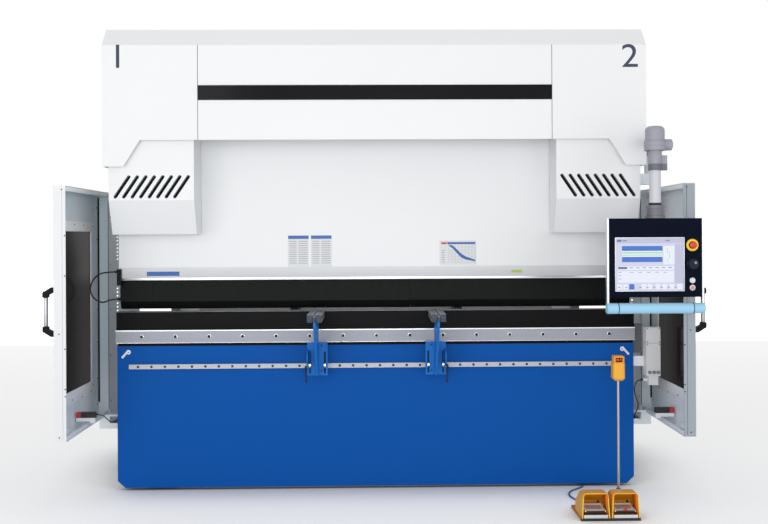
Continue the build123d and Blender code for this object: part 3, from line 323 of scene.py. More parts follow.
white = painted("white_powder", (0.86, 0.87, 0.88))
coat(white, "cover_centre", "cover_left", "cover_right", "vented_box_left", "vented_box_right",
     "ram")
cord_seal = moulded("cover_seal", (0.030, 0.032, 0.036), 0.7, specular=0.1)
seals = bmesh.new()
cover_low, cover_knee, cover_face = 2066, 2607, -270
seam_half = 1.4
for seam in (-1015, 1015):
    block(seals, (seam - seam_half, cover_face - 0.6, cover_low),
          (seam + seam_half, cover_face + 2, cover_knee), 0.3, 1)
settle("cover_seals", seals, cord_seal, "root")
ink = painted("number_paint", (0.030, 0.040, 0.075), 0.5)
number_low, number_high = 2478, 2610


def number(name, digit, left, width):
    """A painted digit: the built-in letter shape, scaled and laid on the front sheet."""
    text = bpy.data.curves.new(name, "FONT")
    text.body = digit
    text.extrude = 0.0002
    text.resolution_u = 6
    stand_in = bpy.data.objects.new(name, text)
    mesh = bpy.data.meshes.new_from_object(stand_in)
    bpy.data.objects.remove(stand_in)
    shape = bmesh.new()
    shape.from_mesh(mesh)
    bmesh.ops.remove_doubles(shape, verts=shape.verts, dist=1e-6)
    corners = [point.co for point in shape.verts]
    first = min(point.x for point in corners)
    foot = min(point.y for point in corners)
    wide = max(point.x for point in corners) - first
    tall = max(point.y for point in corners) - foot
    bmesh.ops.translate(shape, vec=(-first, -foot, 0), verts=shape.verts)
    size = (number_high - number_low) / 1000 / tall
    stretch = width / 1000 / wide if width else size
    bmesh.ops.scale(shape, vec=(stretch, size, 1.0), verts=shape.verts)
    corner = Matrix.Translation(at(left, cover_face - 0.4, number_low))
    upright = Matrix.Rotation(math.pi / 2, 4, "X")
    bmesh.ops.transform(shape, matrix=corner @ upright, verts=shape.verts)
    settle(name, shape, ink, "root")


number("cover_number_left", "1", -1478, 0)
number("cover_number_right", "2", 1420, 92)

# Band across the middle cover: one strip of gloss black acrylic, cut to length and bonded to
# the front sheet between the two end covers.
black_gloss = moulded("black_gloss", (0.004, 0.004, 0.005), 0.10, 0.0, 0.12)
coat(black_gloss, "fascia_band")

# Filter mats behind the vent slots: dark open foam, pleated and pushed into a holder on the
# inside of the front sheet, where it keeps dust off the cylinders.
sides = ((-1, "left"), (1, "right"))
foam = moulded("filter_foam", (0.010, 0.011, 0.012), 0.9, 0.0006, 0.1)
mat_inner, mat_outer = 1055, 1518
mat_low, mat_high = 1734, 1880
mat_front, mat_rear = -233, -225
pleat_count = 22
pleat_pitch = 20.5
pleat_width = 8
for side, name in sides:
    mat = bmesh.new()
    block(mat, (side * mat_inner, mat_front, mat_low), (side * mat_outer, mat_rear, mat_high), 2.0)
    for pleat in range(pleat_count):
        x = side * (mat_inner + 11 + pleat * pleat_pitch)
        block(mat, (x, mat_front - 3, mat_low + 4),
              (x + side * pleat_width, mat_front + 1, mat_high - 4), 2.0, 1)
    settle(f"filter_mat_{name}", mat, foam, "root")

# Vent edging: a thin black rubber lip pressed round each slanted slot, with round ends. It
# covers the cut edge of the sheet.
box_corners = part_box("vented_box_right")
box_face = -245
vent_margin = 35
vent_outer = box_corners[1][0] * 1000 - vent_margin
vent_low = box_corners[0][2] * 1000 + 210
vent_count = 8
vent_pitch = 48.5
vent_height = 0.124
vent_lean = 0.084
vent_end = 0.006
lip_inner, lip_outer = 0.0058, 0.0094
lip_proud = 0.0009
arc_steps = 8
for side, name in sides:
    edging = bmesh.new()
    for count in range(vent_count):
        foot = at(side * (vent_outer - count * vent_pitch), box_face, vent_low)
        top = foot + Vector((-side * vent_lean, 0, vent_height))
        along = (top - foot).normalized()
        lean = math.atan2(along.z, along.x) - math.pi / 2
        loops = []
        for radius in (lip_inner, lip_outer):
            points = []
            for end, start in ((top - along * vent_end, 0.0), (foot + along * vent_end, math.pi)):
                for step in range(arc_steps + 1):
                    turn = start + math.pi * step / arc_steps + lean
                    points.append(edging.verts.new(
                        end + Vector((math.cos(turn), 0, math.sin(turn))) * radius))
            loops.append([edging.edges.new(pair) for pair in zip(points, points[1:] + points[:1])])
        bmesh.ops.bridge_loops(edging, edges=loops[0] + loops[1])
    lip_face = bmesh.ops.extrude_face_region(edging, geom=list(edging.faces))
    bmesh.ops.translate(
        edging, vec=(0, -lip_proud, 0),
        verts=[part for part in lip_face["geom"] if isinstance(part, bmesh.types.BMVert)],
    )
    settle(f"vent_edging_{name}", edging, cord_seal, "root")

# Ram: machined plate, filled and sprayed white, with a load chart and two tables on printed
# aluminium plates held by their own glue. The tables are bare rows under a plain blue head.
plate_white = painted("plate_white", (0.70, 0.71, 0.72), 0.3)
plate_red = painted("plate_red", (0.55, 0.03, 0.03), 0.3)
plate_blue = painted("plate_blue", (0.006, 0.10, 0.38), 0.3)
plate_grey = painted("plate_grey", (0.27, 0.28, 0.31), 0.4)


def plate(name, material, rows):
    """Flat rectangles, each x, z, x, z and depth in mm, with softened edges, as one piece."""
    shape = bmesh.new()
    for x_one, z_one, x_two, z_two, front, behind in rows:
        block(shape, (x_one, front, z_one), (x_two, behind, z_two), 0.25, 1)
    settle(name, shape, material, "ram")


table_lefts = (-528, -391)
table_width = 126
table_low, table_high = 1331, 1518
head_height = 20
row_count = 11
row_pitch = 13
row_height = 3.5
plate("ram_tables", plate_white, [
    (left, table_low, left + table_width, table_high, -0.9, 0.0) for left in table_lefts
])
plate("table_heads", plate_blue, [
    (left + 2, table_high - 1 - head_height, left + table_width - 2, table_high - 1, -1.2, -0.6)
    for left in table_lefts
])
lines = []
for left in table_lefts:
    for step in range(row_count):
        high = table_high - 34 - step * row_pitch
        for start, end in ((9, 52), (64, 117)):
            lines.append((left + start, high - row_height, left + end, high, -1.1, -0.6))
plate("table_rows", plate_grey, lines)
plate("ram_chart", plate_white, [(381, 1338, 602, 1483, -0.9, 0.0)])
plate("chart_head", plate_blue, [(428, 1461, 596, 1473, -1.2, -0.6)])
plate("chart_key", plate_red, [(392, 1461, 424, 1473, -1.2, -0.6)])
grid_left, grid_low, grid_right, grid_high = 436, 1352, 597, 1461
grid = [
    (grid_left + step * 20, grid_low, grid_left + 1.2 + step * 20, grid_high, -1.0, -0.6)
    for step in range(9)
]
grid += [
    (grid_left, grid_low + step * 18, grid_right, grid_low + 1 + step * 18, -1.0, -0.6)
    for step in range(6)
]
grid += [
    (grid_left - 42, grid_low + step * 14, grid_left - 24, grid_low + 4 + step * 14, -1.0, -0.6)
    for step in range(6)
]
plate("chart_grid", plate_grey, grid)
band = bmesh.new()
upper = ((438, 1459), (462, 1452), (486, 1430), (512, 1404), (540, 1386), (570, 1376), (596, 1366))
lower = ((438, 1452), (462, 1434), (486, 1406), (512, 1380), (540, 1368), (570, 1362), (596, 1357))
rows = []
for run in (upper, lower):
    points = [band.verts.new(at(x, -1.3, z)) for x, z in run]
    rows.append([band.edges.new(pair) for pair in zip(points[:-1], points[1:])])
bmesh.ops.bridge_loops(band, edges=rows[0] + rows[1])
settle("chart_band", band, plate_blue, "ram")


# Tools: ground steel clamp beam with a bright clamp bar, black-oxided punches and die with
# ground lands, and the die rail, surface ground along its length and held from the front by
# cap screws in bright-rimmed holes.
def ground(name, colour, roughness, stretch, streak=0.25, shade=None, metal=1.0):
    """Bare steel with fine streaks along the direction it was ground in."""
    finish = Finish(name)
    lines = finish.place.noise(30.0, 6.0, stretch)
    cloud = finish.place.noise(2.5)
    worn = tuple(channel * 0.72 for channel in colour)
    base = (lines * streak + cloud * streak).blend(colour, worn)
    # Painted shade: when shade is given, the colour darkens towards the bottom, from high down to
    # low.
    if shade:
        low, high, dark = shade
        depth = finish.place.axis("Z").ramp(high, low)
        base = depth.blend(base, tuple(channel * dark for channel in colour))
    finish.set(
        Base_Color=base,
        Metallic=metal,
        Roughness=roughness + lines * 0.16,
        Normal=lines.bump(0.00004),
    )
    return finish.material


rail_steel = ground("ground_steel", (0.36, 0.375, 0.42), 0.46, (0.06, 9, 9), 0.25, metal=0.5)
# The clamp beam is given painted shade, darker towards its lower edge.
beam_steel = ground("beam_steel", (0.66, 0.675, 0.69), 0.5, (0.06, 9, 9), 0.2,
                    (1.262, 1.322, 0.78), 0.35)
coat(rail_steel, "die_rail")
coat(beam_steel, "clamp_beam")
bright_steel = ground("bright_steel", (0.88, 0.88, 0.89), 0.22, (0.06, 9, 9), 0.1)
tool_steel = ground("tool_steel", (0.0125, 0.0130, 0.0128), 0.40, (3, 3, 0.2), 0.3)
coat(tool_steel, "punches")
die_black = (0.0090, 0.0090, 0.0095)
die_steel = ground("die_steel", die_black, 0.36, (0.1, 3, 3), 0.3)
coat(die_steel, "crowning_strip")
die_finish = Finish("die_with_ground_lands")
die_lines = die_finish.place.noise(30.0, 6.0, (0.1, 3, 3))
land_depth = 0.0006
die_land = die_finish.place.axis("Z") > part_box("lower_die")[1][2] - land_depth
die_finish.set(
    Base_Color=die_land.blend(die_black, (0.42, 0.43, 0.44)),
    Metallic=1.0,
    Roughness=0.36 + die_lines * 0.16,
    Normal=die_lines.bump(0.00004),
)
coat(die_finish.material, "lower_die")
black_screw = ground("black_screw", (0.030, 0.030, 0.032), 0.35, (1, 1, 1), 0.3)


def screws(name, material, places, radius, outward, body, height=0.7, socket=True):
    """A row of cap screws, each turned with a driver socket or a domed head."""
    shape = bmesh.new()
    tall = radius * height
    for place in places:
        if socket:
            section = [
                (0, tall * 0.35), (radius * 0.48, tall * 0.35), (radius * 0.52, tall * 0.96),
                (radius * 0.86, tall), (radius, tall * 0.8), (radius, 0),
            ]
        else:
            section = [
                (0, tall), (radius * 0.4, tall * 0.96), (radius * 0.75, tall * 0.75),
                (radius * 0.95, tall * 0.35), (radius, 0),
            ]
        turned(shape, section, at(*place), outward, 16)
    settle(name, shape, material, body)


front_way = (0, -1, 0)
clamp_half = 1535
strip = bmesh.new()
block(strip, (-clamp_half, -8, 1255), (clamp_half, -5.9, 1268), 0.5)
settle("clamp_strip", strip, bright_steel, "ram")
set_screws = [(x, 33, 1240) for x in (-1516, -1402, 743, 787, 1334, 1366)]
set_screws += [(x, 33, 1175) for x in (743, 787, 1334, 1366)]
screws("punch_set_screws", bright_steel, set_screws, 5.5, front_way, "ram", 0.3)
bolt_pitch = 200
bolt_count = 15
rail_half = 1555
rail_face = -10
rail_bolts = [(-1400 + step * bolt_pitch, rail_face, 918) for step in range(bolt_count)]
screws("rail_bolts", black_screw, rail_bolts, 9.0, front_way, "root", 0.35)
rims = bmesh.new()
for x, back, z in rail_bolts:
    turned(rims, [(9.2, 0), (9.8, 0.7), (11.8, 0.5), (12.4, 0)], at(x, back, z), front_way, 20)
settle("rail_bolt_rims", rims, bright_steel, "root")
# Bright strips along the rail's top and bottom edges: painted highlights.
edge = bmesh.new()
block(edge, (-rail_half, rail_face - 0.6, 951), (rail_half, rail_face + 0.1, 956), 0.3, 1)
block(edge, (-rail_half, rail_face - 0.4, 879.6), (rail_half, rail_face + 0.1, 881.6), 0.3, 1)
settle("rail_edge_highlights", edge, bright_steel, "root")
plate("clamp_plate_blue", plate_blue, [(-1368, 1280, -1174, 1306, -6.8, -5.9)])
lime = painted("plate_lime", (0.42, 0.55, 0.12), 0.35)
plate("clamp_plate_lime", lime, [(812, 1288, 878, 1305, -6.8, -5.9)])
terminal_black = moulded("terminal_black", (0.010, 0.010, 0.012), 0.45, specular=0.08)
coat(terminal_black, "ram_terminal")

# Bed plate: thick rolled plate in satin blue enamel, with a white moulded clip at each of its
# top corners, and small flush screws under the rail.
blue = painted("blue_enamel", (0.0020, 0.090, 0.395), 0.42, 0.01, specular=0.08)
coat(blue, "bed_plate")
arm_blue = painted("arm_blue", (0.006, 0.17, 0.57), 0.36, 0.02, specular=0.2)
coat(arm_blue, "support_arm_left", "support_arm_right")
dark_blue = painted("screw_blue", (0.006, 0.03, 0.10), 0.4)
plug_places = [(x, 0, 846) for x in (-1380, -980, -580, 300, 620, 1020, 1400)]
screws("bed_plugs", dark_blue, plug_places, 5.0, front_way, "root", 0.2)
clip_white = moulded("clip_white", (0.84, 0.85, 0.86), 0.35)
clip_outer, clip_low = 1515, 790
for side, name in sides:
    clip = bmesh.new()
    for step in range(5):
        x = side * (clip_outer - step * 8)
        z = clip_low + step * 9
        block(clip, (x - 7, -9 + step * 0.5, z), (x + 7, 0, z + 13), 3.0)
    turned(clip, [(6, 0), (13, 0), (14, 3), (13, 7), (6, 8), (5, 4), (6, 0)],
           at(side * (clip_outer - 35), 0, clip_low + 36), front_way, 24)
    settle(f"bed_clip_{name}", clip, clip_white, "root")

# Guide rail: drawn steel flat, ground on its face and held on the bed plate by sunk screws
# every 80 mm. The support carriages run on it.
guide_steel = ground("guide_steel", (0.46, 0.47, 0.50), 0.42, (0.06, 9, 9), 0.15, metal=0.6)
coat(guide_steel, "guide_rail")
rail_dark = moulded("sunk_screw", (0.020, 0.020, 0.022), 0.4)
sunk = bmesh.new()
sunk_pitch = 80
sunk_count = 36
for step in range(sunk_count):
    place = at(-1420 + step * sunk_pitch, -22, 740)
    turned(sunk, [(0, 0.04), (3.6, 0.04), (4.0, 0.3), (7.4, 0.3), (8.0, 0)], place, front_way, 16)
settle("guide_rail_screws", sunk, rail_dark, "root")

# Sheet supports: black-oxided steel carriages, blue welded arms bolted through two slots, and
# an anodised T-slot bar with a moulded end cap, its slot openings drawn as thin black strips of
# painted shade. A thin clamp lever hangs at the outer side.
carriage_steel = ground("carriage_steel", (0.030, 0.040, 0.060), 0.42, (1, 1, 1), 0.3)
coat(carriage_steel, "carriage_left", "carriage_right")
extrusion = ground("anodised_bar", (0.52, 0.54, 0.58), 0.40, (9, 0.06, 9))
coat(extrusion, "support_bar_left", "support_bar_right")
cap_grey = moulded("bar_cap", (0.055, 0.068, 0.095), 0.4, specular=0.2)
lever_steel = moulded("lever_black", (0.018, 0.022, 0.032), 0.34, specular=0.2)
support_middle = 350
arm_face = -80.4
bolt_reach = 44
bar_half = 40
bar_low, bar_high = 1028, 1071
bar_front = -400
groove_depth = 0.3
lever_back = -118
for side, name in sides:
    arm = f"arm_{name}"
    middle = side * support_middle
    bolts = [(middle + step * bolt_reach, arm_face, 752) for step in (-1, 1)]
    screws(f"arm_bolts_{name}", bright_steel, bolts, 8.5, front_way, arm, 0.8)
    washers = bmesh.new()
    for place in bolts:
        turned(washers, [(8.7, 0), (8.7, 1.4), (11.2, 1.4), (11.6, 0)], at(*place), front_way, 20)
    settle(f"arm_washers_{name}", washers, black_screw, arm)
    cap = bmesh.new()
    for left, right, high, round_edge in (
        (-bar_half, -5.5, bar_high, 2.0), (5.5, bar_half, bar_high, 2.0), (-12, 12, 1058, 1.2),
    ):
        block(cap, (middle + left, bar_front - 3, bar_low),
              (middle + right, bar_front - 0.1, high), round_edge)
    settle(f"bar_cap_{name}", cap, cap_grey, arm)
    # Painted shade: thin black strips stand for the shade inside the bar's slots.
    slot_shades = bmesh.new()
    for x in (-31, -22, 22, 31):
        block(slot_shades, (middle + x - 0.9, bar_front + 1, bar_high - 0.2),
              (middle + x + 0.9, -25, bar_high + groove_depth), 0.2, 1)
    for face_x in (-bar_half, bar_half):
        outer_x = face_x + math.copysign(groove_depth, face_x)
        low, high = sorted((middle + face_x, middle + outer_x))
        block(slot_shades, (low, bar_front + 2, 1046), (high, -26, 1053), 0.1, 1)
    settle(f"bar_slot_shades_{name}", slot_shades, black_screw, arm)
    lever = bmesh.new()
    hub = at(middle + side * 60, lever_back, 742)
    turned(lever, [(0, 0), (11, 0), (11, 7), (9, 10), (5, 11), (5, 13), (0, 14)], hub, (side, 0, 0))
    lever_top = at(middle + side * 67, lever_back, 744)
    turned(lever, [(0, -4), (6.5, -2), (6, 10), (4, 30), (4.2, 66), (6, 82), (5, 92), (0, 95)],
           lever_top, (-side * 0.03, -0.02, -1))
    settle(f"clamp_lever_{name}", lever, lever_steel, arm)
    pin = bmesh.new()
    turned(pin, [(0, 0), (7, 0), (7, 4), (4, 6), (0, 6)], at(middle + side * 60, -112.4, 800),
           (side, 0, 0))
    for z in (716, 868):
        turned(pin, [(0, 3), (2.4, 3), (2.8, 4.4), (4.2, 4.4), (4.8, 0)],
               at(middle - side * 25, arm_face, z), front_way, 14)
    settle(f"arm_pins_{name}", pin, lever_steel, arm)

# Side guards: folded and powder-coated sheet. Their inner faces are painted a blue-grey shade
# that turns pale, as painted light, on the right and towards the bottom, and the front flange on
# the right is painted darker as shade. Each door has a smoked sheet held by riveted strips, a
# rubber seal at its hinge and a capped steel handle.
guard_white = Finish("guard_white")
# Painted light and shade: the inner faces are a blue-grey shade that turns pale on the right and
# towards the bottom, and the front flange on the right is painted darker.
front_face = guard_white.place.axis("Y") < at(0, -496, 0).y
cloud = guard_white.place.noise(1.7, 4.0)
right_side = guard_white.place.axis("X") > 0.0
lit_low_part = guard_white.place.axis("Z").ramp(0.75, 0.45)
inner_shade = (cloud * cloud * 0.4).blend((0.70, 0.79, 0.85), (0.60, 0.69, 0.75))
inner_light_and_shade = (lit_low_part + right_side).blend(inner_shade, (0.86, 0.92, 0.96))
flange_shade = right_side.blend((0.80, 0.81, 0.82), (0.34, 0.385, 0.43))
guard_white.set(
    Base_Color=front_face.blend(inner_light_and_shade, flange_shade),
    Roughness=0.36 + cloud * 0.1,
    Normal=guard_white.place.noise(420.0, 2.0).bump(0.00006),
)
coat(guard_white.material, "guard_trays", "side_panel_left", "side_panel_right", "door_left",
     "door_right", "boom_bracket")
strip_white = painted("strip_white", (0.90, 0.91, 0.92), 0.36)
pane = Finish("bronze_pane")
smoke = pane.place.noise(3.0, 3.0)
pane.set(
    Base_Color=smoke.blend((0.006, 0.004, 0.005), (0.014, 0.009, 0.009)),
    Roughness=0.10 + smoke * 0.05,
    Alpha=0.985,
    IOR=1.1,
)
coat(pane.material, "door_window_left", "door_window_right")
coat(terminal_black, "door_handle_left", "door_handle_right")
grip_steel = ground("grip_steel", (0.60, 0.60, 0.62), 0.4, (9, 9, 0.06), 0.1, metal=0.7)
seal_black = moulded("seal_black", (0.008, 0.009, 0.011), 0.55, specular=0.15)
# The flange groove comes in a light grey copy on the left and a dark copy on the right: painted
# light and painted shade.
groove_light_and_shade = {-1: moulded("flange_groove_lit_left", (0.55, 0.57, 0.60), 0.6),
              1: moulded("flange_groove_shaded_right", (0.10, 0.12, 0.15), 0.6)}


guard_face = 1765
flange_front = -500
flange_x = 1719
pane_low, pane_high = 630, 1548
pane_front, pane_rear = -385, 175
door_low, door_high = 393.2, 1795.8
door_front, door_rear = -495.8, 372.8
fold_thick = 2.8
handle_x, handle_back, handle_middle = 1839, -400, 1098
grip_half = 79
louvre_groups = (560, 960, 1360)
louvre_count = 10
louvre_pitch = 25


def span(side, near, far):
    """Two x places on one side, counted inwards from the guard's outer face, lowest first."""
    return sorted((side * (guard_face - near), side * (guard_face - far)))


for side, name in sides:
    door = f"door_{name}"
    inward = (-side, 0, 0)
    outward = (side, 0, 0)
    strips = bmesh.new()
    thick = span(side, 9.1, 13)
    spacer = span(side, 4, 9)
    for low, high, spacer_low, spacer_high in (
        (pane_high, 1606, 1579, 1606), (556, pane_low - 1, 556, 599),
    ):
        block(strips, (thick[0], pane_front - 30, low), (thick[1], 236, high), 1.0)
        block(strips, (spacer[0], pane_front - 30, spacer_low), (spacer[1], 236, spacer_high), 0)
    for front, rear in ((pane_front - 30, pane_front - 2), (pane_rear + 2, pane_rear + 30)):
        block(strips, (thick[0], front, pane_low - 0.5), (thick[1], rear, pane_high - 0.5), 0.8)
    settle(f"window_strips_{name}", strips, strip_white, door)
    heads = [(side * (guard_face - 13), back, z) for back, z in (
        (-380, 1590), (-156, 1588), (30, 1586), (216, 1580), (-380, 585), (-214, 577), (-20, 566),
        (172, 570), (222, 600))]
    heads += [(side * (guard_face - 4), 346, z) for z in (1700, 1500, 1265, 1060, 852, 624, 460)]
    screws(f"door_rivets_{name}", black_screw, heads, 5.0, inward, door, 0.5,
           False)
    face = [(side * flange_x, flange_front, 1775)]
    face += [(side * (flange_x + 18), flange_front, z) for z in (983, 417)]
    face += [(side * (flange_x - 15), flange_front, z) for z in (1522, 1302, 901, 681, 642)]
    screws(f"flange_screws_{name}", black_screw, face, 4.0, front_way, door, 0.4,
           False)
    # Groove down the front flange, painted light on the left and painted shade on the right.
    groove = bmesh.new()
    block(groove, (side * (flange_x - 3), flange_front - 0.4, 402),
          (side * flange_x, flange_front + 0.1, 1786), 0.1, 1)
    settle(f"flange_groove_{name}", groove, groove_light_and_shade[side], door)
    edging = bmesh.new()
    rim = span(side, 0, -1.6)
    for front, rear, low, high in (
        (pane_front - 8, pane_rear + 8, pane_high, pane_high + 8),
        (pane_front - 8, pane_rear + 8, pane_low - 8, pane_low),
        (pane_front - 8, pane_front, pane_low + 0.5, pane_high - 0.5),
        (pane_rear, pane_rear + 8, pane_low + 0.5, pane_high - 0.5),
    ):
        block(edging, (rim[0], front, low), (rim[1], rear, high), 0.7)
    settle(f"window_gasket_{name}", edging, seal_black, door)
    returns = bmesh.new()
    fold = span(side, 4.2, 66)
    lip_x = span(side, 63, 66)
    for low, lip_low in ((door_high - fold_thick, 1768), (door_low, door_low + fold_thick)):
        block(returns, (fold[0], door_front, low), (fold[1], door_rear, low + fold_thick), 0.8)
        block(returns, (lip_x[0], door_front, lip_low), (lip_x[1], door_rear, lip_low + 25), 0.8)
    settle(f"door_returns_{name}", returns, strip_white, door)
    bead = bmesh.new()
    corner_x = span(side, 4.2, 13)
    block(bead, (corner_x[0], 364, 470), (corner_x[1], door_rear, 1765), 3.0)
    settle(f"corner_bead_{name}", bead, seal_black, door)
    seal = bmesh.new()
    seal_x = span(side, 6, 64)
    block(seal, (seal_x[0], 389, 420), (seal_x[1], 399.7, 1790), 1.5)
    bead_x = span(side, 14, 56)
    block(seal, (bead_x[0], 383, 422), (bead_x[1], 390, 1788), 2.5)
    settle(f"hinge_seal_{name}", seal, seal_black, "root")
    grip = bmesh.new()
    turned(grip, [(12.05, -grip_half), (12.5, 1 - grip_half), (12.5, grip_half - 1),
                  (12.05, grip_half), (12.05, -grip_half)],
           at(side * handle_x, handle_back, handle_middle), (0, 0, 1), 28)
    settle(f"handle_grip_{name}", grip, grip_steel, door)
    bosses = bmesh.new()
    for z in (974, 1222):
        turned(bosses, [(0, 1.5), (3.4, 1.5), (4, 3.4), (6, 3.4), (6.8, 0)],
               at(side * (handle_x + 12.2), handle_back, z + (handle_middle - z) * 0.12), outward,
               16)
    settle(f"handle_screws_{name}", bosses, black_screw, door)
    # The lips take the guard material, with its painted light and shade.
    lips = bmesh.new()
    lip = span(side, 0, -6)
    for group in louvre_groups:
        for step in range(louvre_count):
            z = group + step * louvre_pitch
            block(lips, (lip[0], 687, z + 8.5), (lip[1], 883, z + 12.5), 1.8)
    settle(f"louvre_lips_{name}", lips, guard_white.material, "root")
    posts = [
        (side * guard_face, back, z) for back in (470, 1200) for z in (380, 740, 1100, 1460, 1760)
    ]
    screws(f"panel_screws_{name}", black_screw, posts, 5.0, outward, "root", 0.5)
    stays = [(side * 1699, 430, z) for z in (470, 760, 1050, 1340, 1640)]
    screws(f"post_screws_{name}", black_screw, stays, 4.5, inward, "root", 0.5)

# Door interlocks: black moulded switches with a red key end, each screwed to a white bent
# bracket on the tray, where the door's lower corner closes against it.
switch_low = 0.4612
key_end = 1.724
switch = Finish("interlock")
across = switch.place.make(
    "ShaderNodeMath", {"operation": "ABSOLUTE"}, {0: switch.place.axis("X")}
)
on_switch = switch.place.axis("Z") > switch_low
switch_tone = on_switch.blend((0.78, 0.80, 0.82), (0.016, 0.016, 0.018))
grain = switch.place.noise(900.0, 2.0)
switch.set(
    Base_Color=(on_switch * (across > key_end)).blend(switch_tone, (0.50, 0.03, 0.03)),
    Roughness=0.42 + grain * 0.08,
    Normal=grain.bump(0.0001),
)
coat(switch.material, "interlock_switches")
switch_tops = [
    (side * x, back, 493) for side in (-1, 1) for x in (1658, 1712) for back in (-139, -121)
]
screws("switch_screws", black_screw, switch_tops, 2.6, (0, 0, 1), "root", 0.6)

# End block in dark cast iron, and the junction box: white coated sheet with a lid joint, small
# screws and three cable glands along its foot.
cast_grey = painted("cast_grey", (0.085, 0.088, 0.095), 0.5, 0.10, 0.00015)
coat(cast_grey, "end_block")
box_white = painted("box_white", (0.84, 0.85, 0.86), 0.4)
coat(box_white, "junction_box")
box_front = -60
joint = bmesh.new()
block(joint, (1609.8, box_front - 0.4, 863), (1695.2, 20, 865), 0.2, 1)
settle("junction_joint", joint, plate_grey, "root")
screws("junction_screws", black_screw, [
    (x, box_front, z) for z in (872, 950, 856) for x in (1617, 1689)
], 3.4, front_way, "root", 0.5)
glands = bmesh.new()
for x in (1630, 1656, 1680):
    turned(glands, [
        (0, 10), (4, 10), (4.5, 14), (7.5, 14), (8.5, 11), (8.5, 6), (10.5, 6), (10.5, 1),
        (10.5, 0),
    ], at(x, box_front, 690), front_way, 20)
settle("junction_glands", glands, plate_grey, "root")

# Pendant boom: die-cast swivel head and sleeve in violet-grey lacquer over a thin white tube,
# with a ribbed swivel joint above the housing.
cast = Finish("boom_grey")
height = cast.place.axis("Z")
cloud = cast.place.noise(5.0)
cast_base = (cloud * 0.5).blend((0.30, 0.30, 0.36), (0.36, 0.36, 0.42))
sleeve_top = 1.886
lower_band = (height < sleeve_top).blend(cast_base, (0.13, 0.13, 0.165))
cast.set(Base_Color=lower_band, Roughness=0.40 + cloud * 0.1,
         Normal=cast.place.noise(600.0, 2.0).bump(0.0001))
coat(cast.material, "boom")
tube = Finish("drop_white")
height = tube.place.axis("Z")
tube_cloud = tube.place.noise(5.0)
swivel_top = 1.672
ring_shade = (height < swivel_top).blend((0.60, 0.60, 0.64), (0.16, 0.16, 0.20))
tube.set(Base_Color=ring_shade, Roughness=0.36 + tube_cloud * 0.1,
         Normal=tube.place.noise(600.0, 2.0).bump(0.0001))
coat(tube.material, "drop_tube")
collars = bmesh.new()
pendant_x, pendant_back = 1475, -740
tube_seat = 30.1
for low, radius in ((1668, 34), (1674, 32.5)):
    turned(collars, [
        (tube_seat, 0), (radius, 0), (radius, 4), (radius - 1, 5), (tube_seat, 5), (tube_seat, 0),
    ], at(pendant_x, pendant_back, low), (0, 0, 1), 40)
settle("tube_collars", collars, seal_black, "pendant")
head = bmesh.new()
head_seat, ring_radius = 56.05, 56.6
for low in (1955, 1979, 2003):
    turned(head, [
        (head_seat, 0), (ring_radius, 0.4), (ring_radius, 2.2), (head_seat, 2.6), (head_seat, 0),
    ], at(pendant_x, pendant_back, low), (0, 0, 1), 48)
knob_up = 1986
turned(head, [(30.05, 0), (30.8, 0.6), (30.8, 3.4), (30.05, 4), (30.05, 0)],
       at(1531.2, pendant_back, knob_up), (1, 0, 0), 32)
turned(head, [(0, 0.1), (20, 0.1), (22, 3), (20, 5), (8, 6), (0, 6)],
       at(1561, pendant_back, knob_up), (1, 0, 0), 32)
settle("boom_rings", head, plate_grey, "boom")
screw_circle = 47
screws("boom_screws", black_screw, [
    (pendant_x + screw_circle * math.cos(turn), pendant_back + screw_circle * math.sin(turn), 1956)
    for turn in (0.6, 2.2, 3.7, 5.3)
], 3.5, (0, 0, -1), "boom", 0.6)

# Operator pendant: folded aluminium housing in near-black lacquer between silver cheeks, a
# touch screen with plain bars and keys, and a soft blue grip tube with black joint rings.
navy = painted("pendant_navy", (0.0012, 0.0034, 0.0125), 0.42, 0.004, specular=0.05)
coat(navy, "pendant_housing")
silver = ground("cheek_silver", (0.70, 0.71, 0.74), 0.34, (9, 9, 0.06), 0.15)
coat(silver, "pendant_cheeks")


def lit(name, colour, strength=0.22):
    """A patch of the backlit screen: matt glass with a glow of its own colour."""
    finish = Finish(name)
    cells = finish.place.noise(1500.0, 1.0)
    finish.set(
        Base_Color=(cells * 0.15).blend(colour, tuple(channel * 0.8 for channel in colour)),
        Roughness=0.25,
        Emission_Color=colour,
        Emission_Strength=strength,
    )
    return finish.material


screen_left, screen_right = 1250, 1607
screen_low, screen_high = 1219, 1493


def screen(name, material, areas, front, behind):
    """Patches of the screen: x, z, x, z measured in mm from its upper left corner."""
    shape = bmesh.new()
    for left, top, right, low in areas:
        block(shape, (screen_left + left, front, screen_high - low),
              (screen_left + right, behind, screen_high - top), 0.1, 1)
    settle(name, shape, material, "pendant")


